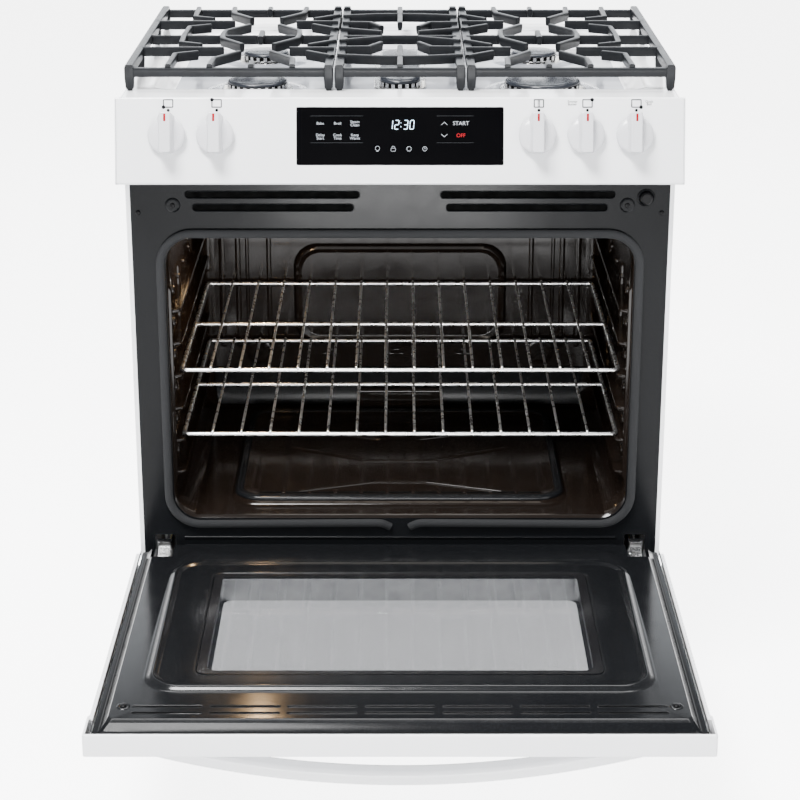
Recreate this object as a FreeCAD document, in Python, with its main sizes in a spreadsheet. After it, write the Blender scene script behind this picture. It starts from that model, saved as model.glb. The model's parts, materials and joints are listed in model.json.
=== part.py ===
import FreeCAD
import Part
import math
import os

import Sketcher

# Freestanding gas range, 30 inch class, oven door resting open.
# Frame: millimetres, +Z up, floor at Z = 0, the front faces -Y and +X is the viewer's right.
# The origin is the centre of the floor area that the range covers with its door open.

Vector = FreeCAD.Vector
os.makedirs("parts", exist_ok=True)
doc = FreeCAD.newDocument("gas_range")
sheet = doc.addObject("Spreadsheet::Sheet", "Dims")


# ---------------------------------------------------------------- sizes

class Size:
    """A length that knows its number and the spreadsheet expression it comes from."""

    def __init__(self, value, text):
        self.value = float(value)
        self.text = text

    def __float__(self):
        return self.value

    def _join(self, other, symbol, result, swapped=False):
        pair = (text_of(other), self.text) if swapped else (self.text, text_of(other))
        return Size(result, f"({pair[0]} {symbol} {pair[1]})")

    def __add__(self, other):
        return self._join(other, "+", self.value + float(other))

    def __radd__(self, other):
        return self._join(other, "+", float(other) + self.value, True)

    def __sub__(self, other):
        return self._join(other, "-", self.value - float(other))

    def __rsub__(self, other):
        return self._join(other, "-", float(other) - self.value, True)

    def __mul__(self, other):
        return self._join(other, "*", self.value * float(other))

    def __rmul__(self, other):
        return self._join(other, "*", float(other) * self.value, True)

    def __truediv__(self, other):
        return self._join(other, "/", self.value / float(other))

    def __neg__(self):
        return Size(-self.value, f"(0 - {self.text})")


def text_of(size):
    return size.text if isinstance(size, Size) else repr(float(size))


def driving(alias, value, note):
    """Puts one driving dimension in the sheet and returns it as a Size."""
    driving.row += 1
    sheet.set(f"A{driving.row}", note)
    sheet.set(f"B{driving.row}", str(value))
    sheet.setAlias(f"B{driving.row}", alias)
    return Size(value, f"Dims.{alias}")


driving.row = 0

# body
body_width = driving("body_width", 749, "width over the side panels")
wide_width = driving("wide_width", 759, "width of door, drawer front and control panel")
body_depth = driving("body_depth", 625, "front frame to back panel")
rim_height = driving("rim_height", 902, "floor to cooktop rim")
foot_height = driving("foot_height", 30, "floor to the underside of the base frame")
sheet_wall = driving("sheet_wall", 1.2, "thickness of the sheet-metal panels")
hem_width = driving("hem_width", 6, "white front hem of a side panel")
# front frame and cavity
frame_bottom = driving("frame_bottom", 208, "lower edge of the front frame")
frame_top = driving("frame_top", 790, "upper edge of the front frame")
mouth_width = driving("mouth_width", 646.5, "oven mouth width")
mouth_bottom = driving("mouth_bottom", 287, "oven mouth lower edge")
mouth_top = driving("mouth_top", 703, "oven mouth upper edge")
mouth_radius = driving("mouth_radius", 38, "oven mouth corner radius")
cavity_depth = driving("cavity_depth", 492, "front frame to the cavity's back wall")
blanket = driving("blanket", 26, "insulation thickness")
gasket_width = driving("gasket_width", 12, "door gasket, width on the frame")
gasket_thick = driving("gasket_thick", 8.5, "door gasket, height off the frame")
# racks
rack_width = driving("rack_width", 628, "rack width over its side rails")
rack_front = driving("rack_front", 44, "front plane to rack front rail")
rack_depth = driving("rack_depth", 436, "rack front rail to rear rail")
rack_low_z = driving("rack_low_z", 400, "lower rack height")
rack_step = driving("rack_step", 48.5, "spacing of the rack positions")
rail_wire = driving("rail_wire", 6, "rack frame wire diameter")
grid_wire = driving("grid_wire", 4, "rack grid wire diameter")
# door, measured from the front plane along the open door
door_near = driving("door_near", 16, "front plane to the door's lower end")
door_reach = driving("door_reach", 576, "front plane to the door's upper end")
door_face_z = driving("door_face_z", 218.7, "height of the open door's outer face")
door_inner_z = driving("door_inner_z", 256, "height of the open door's inner liner")
hinge_out = driving("hinge_out", 33, "front plane to the hinge pin")
hinge_z = driving("hinge_z", 232, "height of the hinge pin")
hinge_x = driving("hinge_x", 338, "middle plane to a hinge arm")
trim_depth = driving("trim_depth", 29, "depth of the door's top trim")
trim_start = driving("trim_start", 508, "front plane to the top trim's edge")
handle_stand = driving("handle_stand", 61, "handle's greatest distance off the door face")
handle_bar = driving("handle_bar", 16, "handle bar thickness")
handle_width = driving("handle_width", 26, "handle bar width")
window_width = driving("window_width", 514, "door window pane width")
window_near = driving("window_near", 132, "front plane to the window's near edge")
window_far = driving("window_far", 434, "front plane to the window's far edge")
# control panel
panel_bottom = driving("panel_bottom", 792, "control panel lower edge")
panel_top = driving("panel_top", 904, "control panel upper edge")
panel_low_out = driving("panel_low_out", 62, "control panel lower edge ahead of the frame")
panel_high_out = driving("panel_high_out", 30, "control panel upper edge ahead of the frame")
panel_wall = driving("panel_wall", 2.5, "control panel thickness")
knob_radius = driving("knob_radius", 25, "knob skirt radius")
knob_height = driving("knob_height", 31, "knob height off the panel")
knob_gap = driving("knob_gap", 4, "knob to panel gap")
stem_radius = driving("stem_radius", 3, "valve stem radius")
display_width = driving("display_width", 276, "display glass width")
display_height = driving("display_height", 77, "display glass height")
# cooktop
basin_drop = driving("basin_drop", 25, "rim to basin floor")
border = driving("border", 40, "width of the raised side borders")
cooktop_depth = driving("cooktop_depth", 591, "cooktop front edge to back edge")
grate_top = driving("grate_top", 938, "height of the grates")
grate_bar = driving("grate_bar", 12, "grate rail width")
burner_x = driving("burner_x", 201.5, "middle plane to the side burners")
burner_front = driving("burner_front", 158, "front plane to the front burners")
burner_back = driving("burner_back", 379, "front plane to the rear burners")
# drawer
drawer_travel = driving("drawer_travel", 360, "drawer travel")
drawer_top = driving("drawer_top", 206, "upper edge of the drawer front")

front = (door_reach - body_depth) / 2
back = front + body_depth
half_body = body_width / 2
half_wide = wide_width / 2
half_mouth = mouth_width / 2
basin_z = rim_height - basin_drop
panel_rise = float(panel_top) - float(panel_bottom)
panel_run = float(panel_low_out) - float(panel_high_out)
panel_tilt = math.degrees(math.atan2(panel_run, panel_rise))
doc.recompute()


# ---------------------------------------------------------------- building blocks

def bind(obj, prop, size):
    """Ties a property to the sheet, or sets it where the size is a plain number."""
    if isinstance(size, Size):
        obj.setExpression(prop, size.text)
    else:
        obj.setExpression(prop, repr(float(size)))


def move(obj, at):
    for letter, size in zip("xyz", at):
        bind(obj, f"Placement.Base.{letter}", size)


def box(name, low, high):
    """A Part box between two corners, its sizes bound to the sheet."""
    obj = doc.addObject("Part::Box", name)
    for prop, start, end in zip(("Length", "Width", "Height"), low, high):
        bind(obj, prop, end - start)
    move(obj, low)
    return obj


def rod(name, radius, length, at, along):
    """A Part cylinder that starts at a point and runs along a direction."""
    obj = doc.addObject("Part::Cylinder", name)
    bind(obj, "Radius", radius)
    bind(obj, "Height", length)
    turn = FreeCAD.Rotation(Vector(0, 0, 1), Vector(*along))
    obj.Placement = FreeCAD.Placement(Vector(*[float(size) for size in at]), turn)
    move(obj, at)
    return obj


def fuse(label, parts):
    obj = doc.addObject("Part::MultiFuse", label)
    obj.Shapes = parts
    obj.Refine = True
    obj.Label = label
    return obj


def cut(label, base, tools):
    tool = tools[0]
    if len(tools) > 1:
        tool = doc.addObject("Part::MultiFuse", label + "_tools")
        tool.Shapes = tools
    obj = doc.addObject("Part::Cut", label)
    obj.Base = base
    obj.Tool = tool
    obj.Refine = True
    obj.Label = label
    return obj


def feature(label, shape):
    obj = doc.addObject("Part::Feature", label)
    obj.Shape = shape
    obj.Label = label
    return obj


def new_body(label):
    body = doc.addObject("PartDesign::Body", label)
    body.Label = label
    return body


def new_sketch(body, name, plane, lift):
    """An empty sketch on one of the body's own origin planes, lifted off it."""
    sketch = body.newObject("Sketcher::SketchObject", name)
    for item in body.Origin.OriginFeatures:
        if item.Role == plane:
            sketch.AttachmentSupport = [(item, "")]
    sketch.MapMode = "FlatFace"
    bind(sketch, "AttachmentOffset.Base.z", lift)
    return sketch


def polygon(body, name, plane, points, lift=0.0):
    """A fully constrained closed outline."""
    sketch = new_sketch(body, name, plane, lift)
    ends = [Vector(float(x), float(y), 0) for x, y in points]
    for index, start in enumerate(ends):
        sketch.addGeometry(Part.LineSegment(start, ends[(index + 1) % len(ends)]), False)
    for index in range(len(ends)):
        sketch.addConstraint(Sketcher.Constraint("Coincident", index, 2, (index + 1) % len(ends), 1))
    for index, point in enumerate(points):
        for kind, axis, size in zip(("DistanceX", "DistanceY"), (-2, -1), point):
            if abs(float(size)) < 1e-9:
                sketch.addConstraint(Sketcher.Constraint("PointOnObject", index, 1, axis))
                continue
            row = sketch.addConstraint(Sketcher.Constraint(kind, -1, 1, index, 1, float(size)))
            if isinstance(size, Size):
                sketch.setExpression(f"Constraints[{row}]", size.text)
    return sketch


def circle(body, name, plane, radius, lift):
    """A circle about the body's own axis, its radius bound to the sheet."""
    sketch = new_sketch(body, name, plane, lift)
    sketch.addGeometry(Part.Circle(Vector(0, 0, 0), Vector(0, 0, 1), float(radius)), False)
    sketch.addConstraint(Sketcher.Constraint("Coincident", 0, 3, -1, 1))
    row = sketch.addConstraint(Sketcher.Constraint("Radius", 0, float(radius)))
    sketch.setExpression(f"Constraints[{row}]", text_of(radius))
    return sketch


def rectangle(left, low, right, high):
    return [(left, low), (right, low), (right, high), (left, high)]


def pad(body, sketch, length, middle=False):
    made = body.newObject("PartDesign::Pad", sketch.Name + "_pad")
    made.Profile = sketch
    bind(made, "Length", length)
    made.Midplane = middle
    return made


def pocket(body, sketch, length, middle=False, backwards=False):
    made = body.newObject("PartDesign::Pocket", sketch.Name + "_pocket")
    made.Profile = sketch
    bind(made, "Length", length)
    made.Midplane = middle
    made.Reversed = backwards
    return made


def turned(label, outline, at, placement=None):
    """A turned piece: an outline of (radius, height) points revolved about its own Z axis."""
    body = new_body(label)
    sketch = polygon(body, label + "_profile", "XZ_Plane", outline)
    made = body.newObject("PartDesign::Revolution", label + "_turn")
    made.Profile = sketch
    made.ReferenceAxis = (sketch, ["V_Axis"])
    made.Angle = 360
    if placement is None:
        move(body, at)
    else:
        body.Placement = placement
    return body


def slab(left, right, low_y, high_y, low_z, high_z, radius):
    """A block with rounded upright corners."""
    block = Part.makeBox(right - left, high_y - low_y, high_z - low_z, Vector(left, low_y, low_z))
    upright = [edge for edge in block.Edges if abs(edge.tangentAt(edge.FirstParameter).z) > 0.99]
    return block.makeFillet(radius, upright)


def plate_xz(left, right, low_z, high_z, y, thick, radius):
    """A rounded plate that stands in an XZ plane, from y to y + thick."""
    block = Part.makeBox(right - left, thick, high_z - low_z, Vector(left, y, low_z))
    lying = [edge for edge in block.Edges if abs(edge.tangentAt(edge.FirstParameter).y) > 0.99]
    return block.makeFillet(radius, lying)


def bar(start, end, top, depth, width):
    """A straight cast bar in plan between two points."""
    run = Vector(end[0] - start[0], end[1] - start[1], 0)
    block = Part.makeBox(run.Length, width, depth, Vector(0, -width / 2, top - depth))
    angle = math.degrees(math.atan2(run.y, run.x))
    block.rotate(Vector(0, 0, 0), Vector(0, 0, 1), angle)
    block.translate(Vector(start[0], start[1], 0))
    return block


def joined(shapes):
    whole = shapes[0].multiFuse(shapes[1:])
    return whole.removeSplitter()


def pipe(points, radius, bend):
    """A round tube along straight runs joined by tangent arcs."""
    points = [Vector(*point) for point in points]
    edges = []
    start = points[0]
    for index in range(1, len(points) - 1):
        corner = points[index]
        before = (points[index - 1] - corner).normalize()
        after = (points[index + 1] - corner).normalize()
        turn = math.pi - before.getAngle(after)
        reach = bend * math.tan(turn / 2)
        enter = corner + before * reach
        leave = corner + after * reach
        centre_way = (before + after).normalize()
        centre = corner + centre_way * (bend / math.cos(turn / 2))
        middle = centre - centre_way * bend
        edges.append(Part.makeLine(start, enter))
        edges.append(Part.Arc(enter, middle, leave).toShape())
        start = leave
    edges.append(Part.makeLine(start, points[-1]))
    heading = (points[1] - points[0]).normalize()
    circle = Part.Wire([Part.makeCircle(radius, points[0], heading)])
    tube = Part.Wire(edges).makePipeShell([circle], True, True)
    if tube.Volume < 0:
        tube.reverse()
    return tube


parts = []


def keep(obj):
    parts.append(obj)
    return obj


F = float(front)

# ---------------------------------------------------------------- base, sides and back

base_rise = 14
base_wall = 2
base_width = 36


def base_block(name, inset, low, high):
    """A block over the base's plan, drawn in from the side panels."""
    reach = half_body - sheet_wall - inset
    return box(name, (-reach, front + 20 + inset, low), (reach, back - 2 - inset, high))


base_high = foot_height + base_rise
base_channel = cut("base_channel", base_block("base_trough", base_wall, foot_height + base_wall, base_high + 1),
                   [base_block("base_web", base_width - base_wall, foot_height, base_high + 2)])
keep(cut("base_frame", base_block("base_slab", 0, foot_height, base_high),
         [base_block("base_open", base_width, foot_height - 1, base_high + 1), base_channel]))

feet = []
foot_x = 345.0
for side in (-1, 1):
    for distance in (50, 590):
        spot = (side * foot_x, front + distance)
        feet.append(rod("foot_pad", 19, 10, (*spot, 0), (0, 0, 1)))
        feet.append(rod("foot_nut", 9, 6, (*spot, 10), (0, 0, 1)))
        feet.append(rod("foot_stud", 5, foot_height - 16, (*spot, 16), (0, 0, 1)))
keep(fuse("levelling_feet", feet))

for side, name in ((-1, "side_panel_left"), (1, "side_panel_right")):
    body = new_body(name)
    outer = side * half_body
    inner = side * (half_body - sheet_wall)
    hem = side * (half_body - hem_width)
    outline = [(outer, front), (outer, back - sheet_wall), (inner, back - sheet_wall),
               (inner, front + sheet_wall), (hem, front + sheet_wall), (hem, front)]
    profile = polygon(body, name + "_profile", "XY_Plane", outline, foot_height)
    pad(body, profile, basin_z - sheet_wall - foot_height)
    keep(body)

back_body = new_body("back_panel")
back_sketch = polygon(back_body, "back_outline", "XZ_Plane",
                      rectangle(-half_body, foot_height + 140, half_body, basin_z - sheet_wall),
                      -back + sheet_wall)
back_pad = pad(back_body, back_sketch, sheet_wall)
back_pad.Reversed = True
gland_sketch = polygon(back_body, "gland_hole", "XZ_Plane",
                       rectangle(-315, 205, -285, 235), -back - 1)
pocket(back_body, gland_sketch, 6, backwards=True)
keep(back_body)

# ---------------------------------------------------------------- front frame

half_frame = half_body - hem_width
frame_body = new_body("front_frame_blank")
frame_sketch = polygon(frame_body, "frame_outline", "XZ_Plane",
                       rectangle(-half_frame, frame_bottom, half_frame, frame_top), -front - sheet_wall)
pad(frame_body, frame_sketch, sheet_wall)
mouth_tool = feature("mouth_tool", plate_xz(-float(half_mouth), float(half_mouth), float(mouth_bottom),
                                            float(mouth_top), F - 5, 12, float(mouth_radius)))
holes = [mouth_tool]
slot_rows = ((759.0, 769.0, 55.0, 294.0), (741.0, 751.0, 63.0, 284.0))
for low, high, near, far in slot_rows:
    for side in (-1, 1):
        ends = sorted((side * near, side * far))
        shape = plate_xz(ends[0], ends[1], low, high, F - 5, 12, 4.9)
        holes.append(feature("vent_tool", shape))
for side in (-1, 1):
    middle = side * float(hinge_x)
    holes.append(feature("hinge_slot_tool", plate_xz(middle - 15, middle + 15, 217, 262, F - 5, 12, 3)))
switch_at = (335.8, 760.0)
holes.append(rod("switch_hole", 9, 12, (switch_at[0], front - 5, switch_at[1]), (0, 1, 0)))
frame_plate = cut("frame_plate", frame_body, holes)
ribs = []
for height in (243.8, 257.4):
    ribs.append(rod("frame_rib", 2.2, 620, (-310, front + 0.4, height), (1, 0, 0)))
for side in (-1, 1):
    ribs.append(rod("screw_boss", 7.8, 3, (side * 310.5, front - 2.5, 749.5), (0, 1, 0)))
    ribs.append(rod("frame_screw", 3.2, 2, (side * 358.0, front - 1.6, 739.0), (0, 1, 0)))
keep(fuse("front_frame", [frame_plate] + ribs))

gasket_outer = plate_xz(-float(half_mouth) - 13, float(half_mouth) + 13, float(mouth_bottom) - 13,
                        float(mouth_top) + 13, F - float(gasket_thick), float(gasket_thick), 50)
gasket_inner = plate_xz(-float(half_mouth) - 1, float(half_mouth) + 1, float(mouth_bottom) - 1,
                        float(mouth_top) + 1, F - 20, 40, 39)
gasket = gasket_outer.cut(gasket_inner)
crown = [edge for edge in gasket.Edges if edge.BoundBox.YMax < F - float(gasket_thick) + 0.1]
keep(feature("door_gasket", gasket.makeFillet(3.5, crown)))

# ---------------------------------------------------------------- oven cavity

cavity_back = front + cavity_depth
liner_half = half_mouth + sheet_wall
liner_back = cavity_back + sheet_wall
lamp_at = (300, 650)
probe_at = (-180, 660)
liner_shell = cut("liner_shell",
                  box("liner_outer", (-liner_half, front + sheet_wall, mouth_bottom - sheet_wall),
                      (liner_half, liner_back, mouth_top + sheet_wall)),
                  [box("liner_inner", (-half_mouth, front, mouth_bottom), (half_mouth, cavity_back, mouth_top)),
                   box("liner_floor_hole", (-270, front + 70, mouth_bottom - 5),
                       (270, cavity_back - 60, mouth_bottom + 5)),
                   rod("lamp_hole", 24, 20, (-half_mouth - 10, front + lamp_at[0], lamp_at[1]), (1, 0, 0)),
                   rod("probe_hole", 3, 20, (probe_at[0], cavity_back - 10, probe_at[1]), (0, 1, 0))])
ledge_depth = half_mouth - rack_width / 2 + 6
ledges = []
for step in range(-1, 5):
    ledge_top = rack_low_z + step * rack_step - rail_wire / 2 - 0.3
    for side in (-1, 1):
        wall_x = side * half_mouth
        tip_x = side * (half_mouth - ledge_depth)
        low_x, high_x = (wall_x, tip_x) if side < 0 else (tip_x, wall_x)
        ledges.append(box("rack_ledge", (low_x, front + 30, ledge_top - 5),
                          (high_x, cavity_back - 4, ledge_top)))
keep(fuse("oven_liner", [liner_shell] + ledges))

floor_wall = 1.5
keep(fuse("oven_floor", [
    box("floor_plate", (-half_mouth + 5, front + 12, mouth_bottom),
        (half_mouth - 5, cavity_back - 6, mouth_bottom + floor_wall)),
    box("floor_raised", (-245, front + 60, mouth_bottom + floor_wall),
        (245, cavity_back - 60, mouth_bottom + 2 * floor_wall))]))

blanket_half = liner_half + blanket
blanket_outer = box("blanket_outer", (-blanket_half, front + sheet_wall, mouth_bottom - sheet_wall),
                    (blanket_half, liner_back + blanket, mouth_top + sheet_wall + blanket))
keep(cut("insulation", blanket_outer, [
    box("blanket_inner", (-liner_half, front, mouth_bottom - 20),
        (liner_half, liner_back, mouth_top + sheet_wall)),
    rod("lamp_room", 30, 60, (-blanket_half - 5, front + lamp_at[0], lamp_at[1]), (1, 0, 0)),
    rod("probe_room", 5, 60, (probe_at[0], cavity_back - 5, probe_at[1]), (0, 1, 0))]))

bake_y = front + 245
bake_z = 262
keep(fuse("bake_burner", [
    rod("bake_tube", 12, 480, (-240, bake_y, bake_z), (1, 0, 0)),
    rod("bake_throat", 9, 190, (0, bake_y, bake_z), (0, 1, 0)),
    box("bake_bracket_left", (-276, bake_y - 10, 255), (-238, bake_y + 10, 285)),
    box("bake_bracket_right", (238, bake_y - 10, 255), (276, bake_y + 10, 285))]))

broil_y = front + 250
broil_z = 684
broil = []
for offset in (-55, 55):
    broil.append(rod("broil_tube", 8, 420, (-210, broil_y + offset, broil_z), (1, 0, 0)))
broil.append(rod("broil_feed", 6.5, 110, (0, broil_y - 55, broil_z), (0, 1, 0)))
broil.append(box("broil_hanger", (-30, broil_y - 10, broil_z), (30, broil_y + 10, mouth_top)))
keep(fuse("broil_burner", broil))

lens_outline = [(0, 0), (23.9, 0), (23.9, 3), (22, 12), (15, 19), (6, 22), (0, 22.5)]
keep(turned("oven_lamp_lens", lens_outline, None, FreeCAD.Placement(
    Vector(-float(half_mouth) - 2, F + lamp_at[0], lamp_at[1]),
    FreeCAD.Rotation(Vector(0, 0, 1), Vector(1, 0, 0)))))

keep(fuse("temperature_probe", [
    rod("probe_rod", 3, 140, (probe_at[0], cavity_back - 120, probe_at[1]), (0, 1, 0)),
    rod("probe_flange", 10, 3, (probe_at[0], cavity_back - 3, probe_at[1]), (0, 1, 0))]))

# ---------------------------------------------------------------- racks


def rack_shape(height):
    """A welded wire rack: a frame, three cross rails and a grid of wires on top of them."""
    rail = float(rail_wire) / 2
    wire = float(grid_wire) / 2
    half = float(rack_width) / 2 - rail
    near = F + float(rack_front)
    far = near + float(rack_depth)
    corners = [Vector(-half, near, height), Vector(half, near, height),
               Vector(half, far, height), Vector(-half, far, height)]
    solids = []
    for index, corner in enumerate(corners):
        following = corners[(index + 1) % 4]
        solids.append(Part.makeCylinder(rail, (following - corner).Length, corner, following - corner))
        solids.append(Part.makeSphere(rail, corner))
    middle = Vector(-half, (near + far) / 2, height)
    solids.append(Part.makeCylinder(rail, 2 * half, middle, Vector(1, 0, 0)))
    lift = height + rail + wire - 0.8
    gaps = 15
    for index in range(1, gaps):
        x = -half + 2 * half * index / gaps
        solids.append(Part.makeCylinder(wire, far - near + 4, Vector(x, near - 2, lift), Vector(0, 1, 0)))
    return joined(solids)


keep(feature("rack_upper", rack_shape(float(rack_low_z) + 2 * float(rack_step))))
keep(feature("rack_lower", rack_shape(float(rack_low_z))))

# ---------------------------------------------------------------- cooktop, burners and grates

burners = {"front_left": (-1, burner_front, 42), "rear_left": (-1, burner_back, 34),
           "front_right": (1, burner_front, 53), "rear_right": (1, burner_back, 34)}
oval_half = 98.0

deck_front = F - 26
deck_back = deck_front + float(cooktop_depth)
rim = float(rim_height)
basin = float(basin_z)
half_deck = float(half_body)
basin_side = half_deck - float(border)
basin_front = F + 46
basin_back = F + 496
skin = float(sheet_wall)
deck = slab(-half_deck, half_deck, deck_front, deck_back, basin - skin, rim, 3)
under_low = basin - skin - 1
deck = deck.cut(slab(-half_deck + skin, half_deck - skin, deck_front + skin, deck_back - skin,
                     under_low, rim - skin, 2))
well = slab(-basin_side - skin, basin_side + skin, basin_front - skin, basin_back + skin,
            basin - skin, rim, 24)
deck = deck.fuse(well)
deck = deck.cut(slab(-basin_side, basin_side, basin_front, basin_back, basin, rim + 5, 22))
spud = 16.0
for side, distance, _ in burners.values():
    spot = Vector(side * float(burner_x), F + float(distance), basin - 10)
    deck = deck.cut(Part.makeCylinder(spud, 20, spot))
oval_y = F + (float(burner_front) + float(burner_back)) / 2
for end in (-1, 1):
    deck = deck.cut(Part.makeCylinder(spud, 20, Vector(0, oval_y + end * oval_half, basin - 10)))
keep(feature("cooktop", deck.removeSplitter()))


def oval(half_length, radius, low, high):
    """A stadium-shaped block that runs front to back on the middle plane."""
    block = Part.makeBox(2 * radius, 2 * half_length, high - low, Vector(-radius, oval_y - half_length, low))
    for end in (-1, 1):
        block = block.fuse(Part.makeCylinder(radius, high - low, Vector(0, oval_y + end * half_length, low)))
    return block.removeSplitter()


head_top = basin + 11
heads = []
for side, distance, cap in burners.values():
    at = Vector(side * float(burner_x), F + float(distance), 0)
    solids = [Part.makeCylinder(spud, 29, at + Vector(0, 0, basin - 27)),
              Part.makeCylinder(cap + 8, 3, at + Vector(0, 0, basin)),
              Part.makeCylinder(cap - 2, 8, at + Vector(0, 0, basin + 3))]
    head = joined(solids)
    ports = 24
    for port in range(ports):
        notch = Part.makeBox(8, 1.6, 4, Vector(cap - 8, -0.8, head_top - 4))
        notch.rotate(Vector(0, 0, 0), Vector(0, 0, 1), 360.0 * port / ports)
        notch.translate(at)
        head = head.cut(notch)
    heads.append(head.cut(Part.makeCylinder(10, 4, at + Vector(0, 0, head_top - 4))))
oval_head = oval(oval_half, 37, basin, basin + 3).fuse(oval(oval_half, 27, basin + 3, head_top))
for end in (-1, 1):
    oval_head = oval_head.fuse(Part.makeCylinder(spud, 27, Vector(0, oval_y + end * oval_half, basin - 27)))
heads.append(oval_head.removeSplitter())
keep(feature("burner_heads", Part.makeCompound(heads)))

cap_thick = 5.5
for name, (side, distance, cap) in burners.items():
    outline = [(0, -3.5), (9.7, -3.5), (9.7, 0), (cap, 0), (cap, 2.5), (cap - 2.5, cap_thick), (0, cap_thick)]
    keep(turned("burner_cap_" + name, outline, (side * burner_x, front + distance, basin_z + 11.3)))
oval_cap = oval(oval_half, 29, head_top + 0.3, head_top + 0.3 + cap_thick)
top_edges = [edge for edge in oval_cap.Edges if edge.BoundBox.ZMin > head_top + cap_thick]
keep(feature("burner_cap_centre", oval_cap.makeFillet(2.5, top_edges)))

G = float(grate_top)
rail_width = float(grate_bar)
finger = 8.0
finger_depth = 12.0
grate_near = F + 28
grate_far = F + 510
grate_mid = (grate_near + grate_far) / 2
foot_low = rim + 0.3


def rails(left, right):
    """The outer frame of a grate with its middle crossbar and corner feet."""
    solids = [bar((left, y), (right, y), G - 5, 15, rail_width) for y in (grate_near, grate_far)]
    solids += [bar((x, grate_near - 6), (x, grate_far + 6), G, 16, rail_width) for x in (left, right)]
    solids.append(bar((left, grate_mid), (right, grate_mid), G - 3, 13, finger))
    return solids


def foot(x, y):
    """A grate foot that stands on the cooktop rim."""
    corner = Vector(x - rail_width / 2, y - rail_width / 2, foot_low)
    return Part.makeBox(rail_width, rail_width, G - 4 - foot_low, corner)


def side_grate(side):
    """One outer grate over a front and a rear burner, drawn for the left and mirrored."""
    wall_x = -half_deck + 9
    joint_x = -96.5
    x = -float(burner_x)
    solids = rails(wall_x, joint_x)
    for y in (grate_near, grate_far):
        solids += [foot(wall_x, y), foot(joint_x, y)]
    for y, out in ((F + float(burner_front), grate_near), (F + float(burner_back), grate_far)):
        toward = 1 if out > y else -1
        solids.append(foot(wall_x, y))
        solids.append(bar((wall_x, y), (x - 46, y), G, finger_depth, finger))
        solids.append(bar((joint_x, y), (x + 46, y), G, finger_depth, finger))
        for rail_y, way in ((out, toward), (grate_mid, -toward)):
            for across in (-1, 1):
                knee = (x + across * 54, y + way * 80)
                solids.append(bar((x + across * 56, rail_y), knee, G, finger_depth, finger))
                solids.append(bar(knee, (x + across * 22, y + way * 28), G, finger_depth, finger))
            solids.append(bar((x, rail_y), (x, rail_y - way * 26), G, finger_depth, finger))
            bend = (wall_x + 54, y + way * 46)
            solids.append(bar((wall_x + 52, rail_y), bend, G, finger_depth, finger))
            solids.append(bar(bend, (wall_x + 84, y + way * 28), G, finger_depth, finger))
            solids.append(bar((joint_x, y + way * 58), (joint_x - 33, y + way * 26), G, finger_depth, finger))
    shape = joined(solids)
    if side > 0:
        shape = shape.mirror(Vector(0, 0, 0), Vector(1, 0, 0))
    return shape


def centre_grate():
    """The middle grate over the long oval burner."""
    rail_x = 82.0
    solids = rails(-rail_x, rail_x)
    for side in (-1, 1):
        for y in (grate_near, grate_far):
            solids.append(foot(side * rail_x, y))
    for way in (-1, 1):
        out = grate_mid + way * (grate_far - grate_mid)
        stub_end = grate_mid + way * 96
        solids.append(bar((0, out), (0, stub_end), G, finger_depth, finger))
        for side in (-1, 1):
            cross = (side * 34, grate_mid + way * 176)
            solids.append(bar((side * rail_x, grate_mid + way * 164), cross, G, finger_depth, finger))
            solids.append(bar(cross, (0, grate_mid + way * 178), G, finger_depth, finger))
            side_in = (side * 44, grate_mid + way * 102)
            solids.append(bar((side * rail_x, grate_mid + way * 104), side_in, G, finger_depth, finger))
            solids.append(bar(side_in, (side * 27, grate_mid + way * 66), G, finger_depth, finger))
            solids.append(bar((side * rail_x, grate_mid + way * 50), (side * 27, grate_mid + way * 22),
                              G, finger_depth, finger))
    return joined(solids)


keep(feature("grate_left", side_grate(-1)))
keep(feature("grate_centre", centre_grate()))
keep(feature("grate_right", side_grate(1)))

vent_body = new_body("vent_trim")
vent_outline = polygon(vent_body, "vent_outline", "YZ_Plane",
                       [(front + 565, basin_z - sheet_wall), (back, basin_z - sheet_wall),
                        (back, rim_height + 10),
                        (front + 580, rim_height + 10), (front + 565, rim_height)])
pad(vent_body, vent_outline, body_width, middle=True)
vent_hollow = polygon(vent_body, "vent_hollow", "YZ_Plane",
                      rectangle(front + 573, basin_z - 5, back - 3, rim_height + 4))
pocket(vent_body, vent_hollow, body_width - 8, middle=True)
doc.recompute()
vent_slots = polygon(vent_body, "vent_slot", "XY_Plane", rectangle(-320, front + 594, -90, front + 600), 930)
pocket(vent_body, vent_slots, 60)
vent_slots_right = polygon(vent_body, "vent_slot_right", "XY_Plane",
                           rectangle(90, front + 594, 320, front + 600), 930)
pocket(vent_body, vent_slots_right, 60)
keep(vent_body)

# ---------------------------------------------------------------- control panel

slope = panel_run / panel_rise
low_front = F - float(panel_low_out)
low_z = float(panel_bottom)
high_z = float(panel_top)
thick = float(panel_wall)
tilt = math.radians(panel_tilt)


def panel_y(z):
    """Where the slanted outer face of the control panel is at a height."""
    return low_front + (z - low_z) * slope


def on_panel(x, z):
    """Placement on the panel's face: local Z points out of it and local Y runs up it."""
    turn = FreeCAD.Rotation(Vector(1, 0, 0), 90 - panel_tilt)
    return FreeCAD.Placement(Vector(x, panel_y(z), z), turn)


def placed(shape, placement):
    """A copy of a shape at a placement."""
    moved = shape.copy()
    moved.Placement = placement
    return moved


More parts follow.
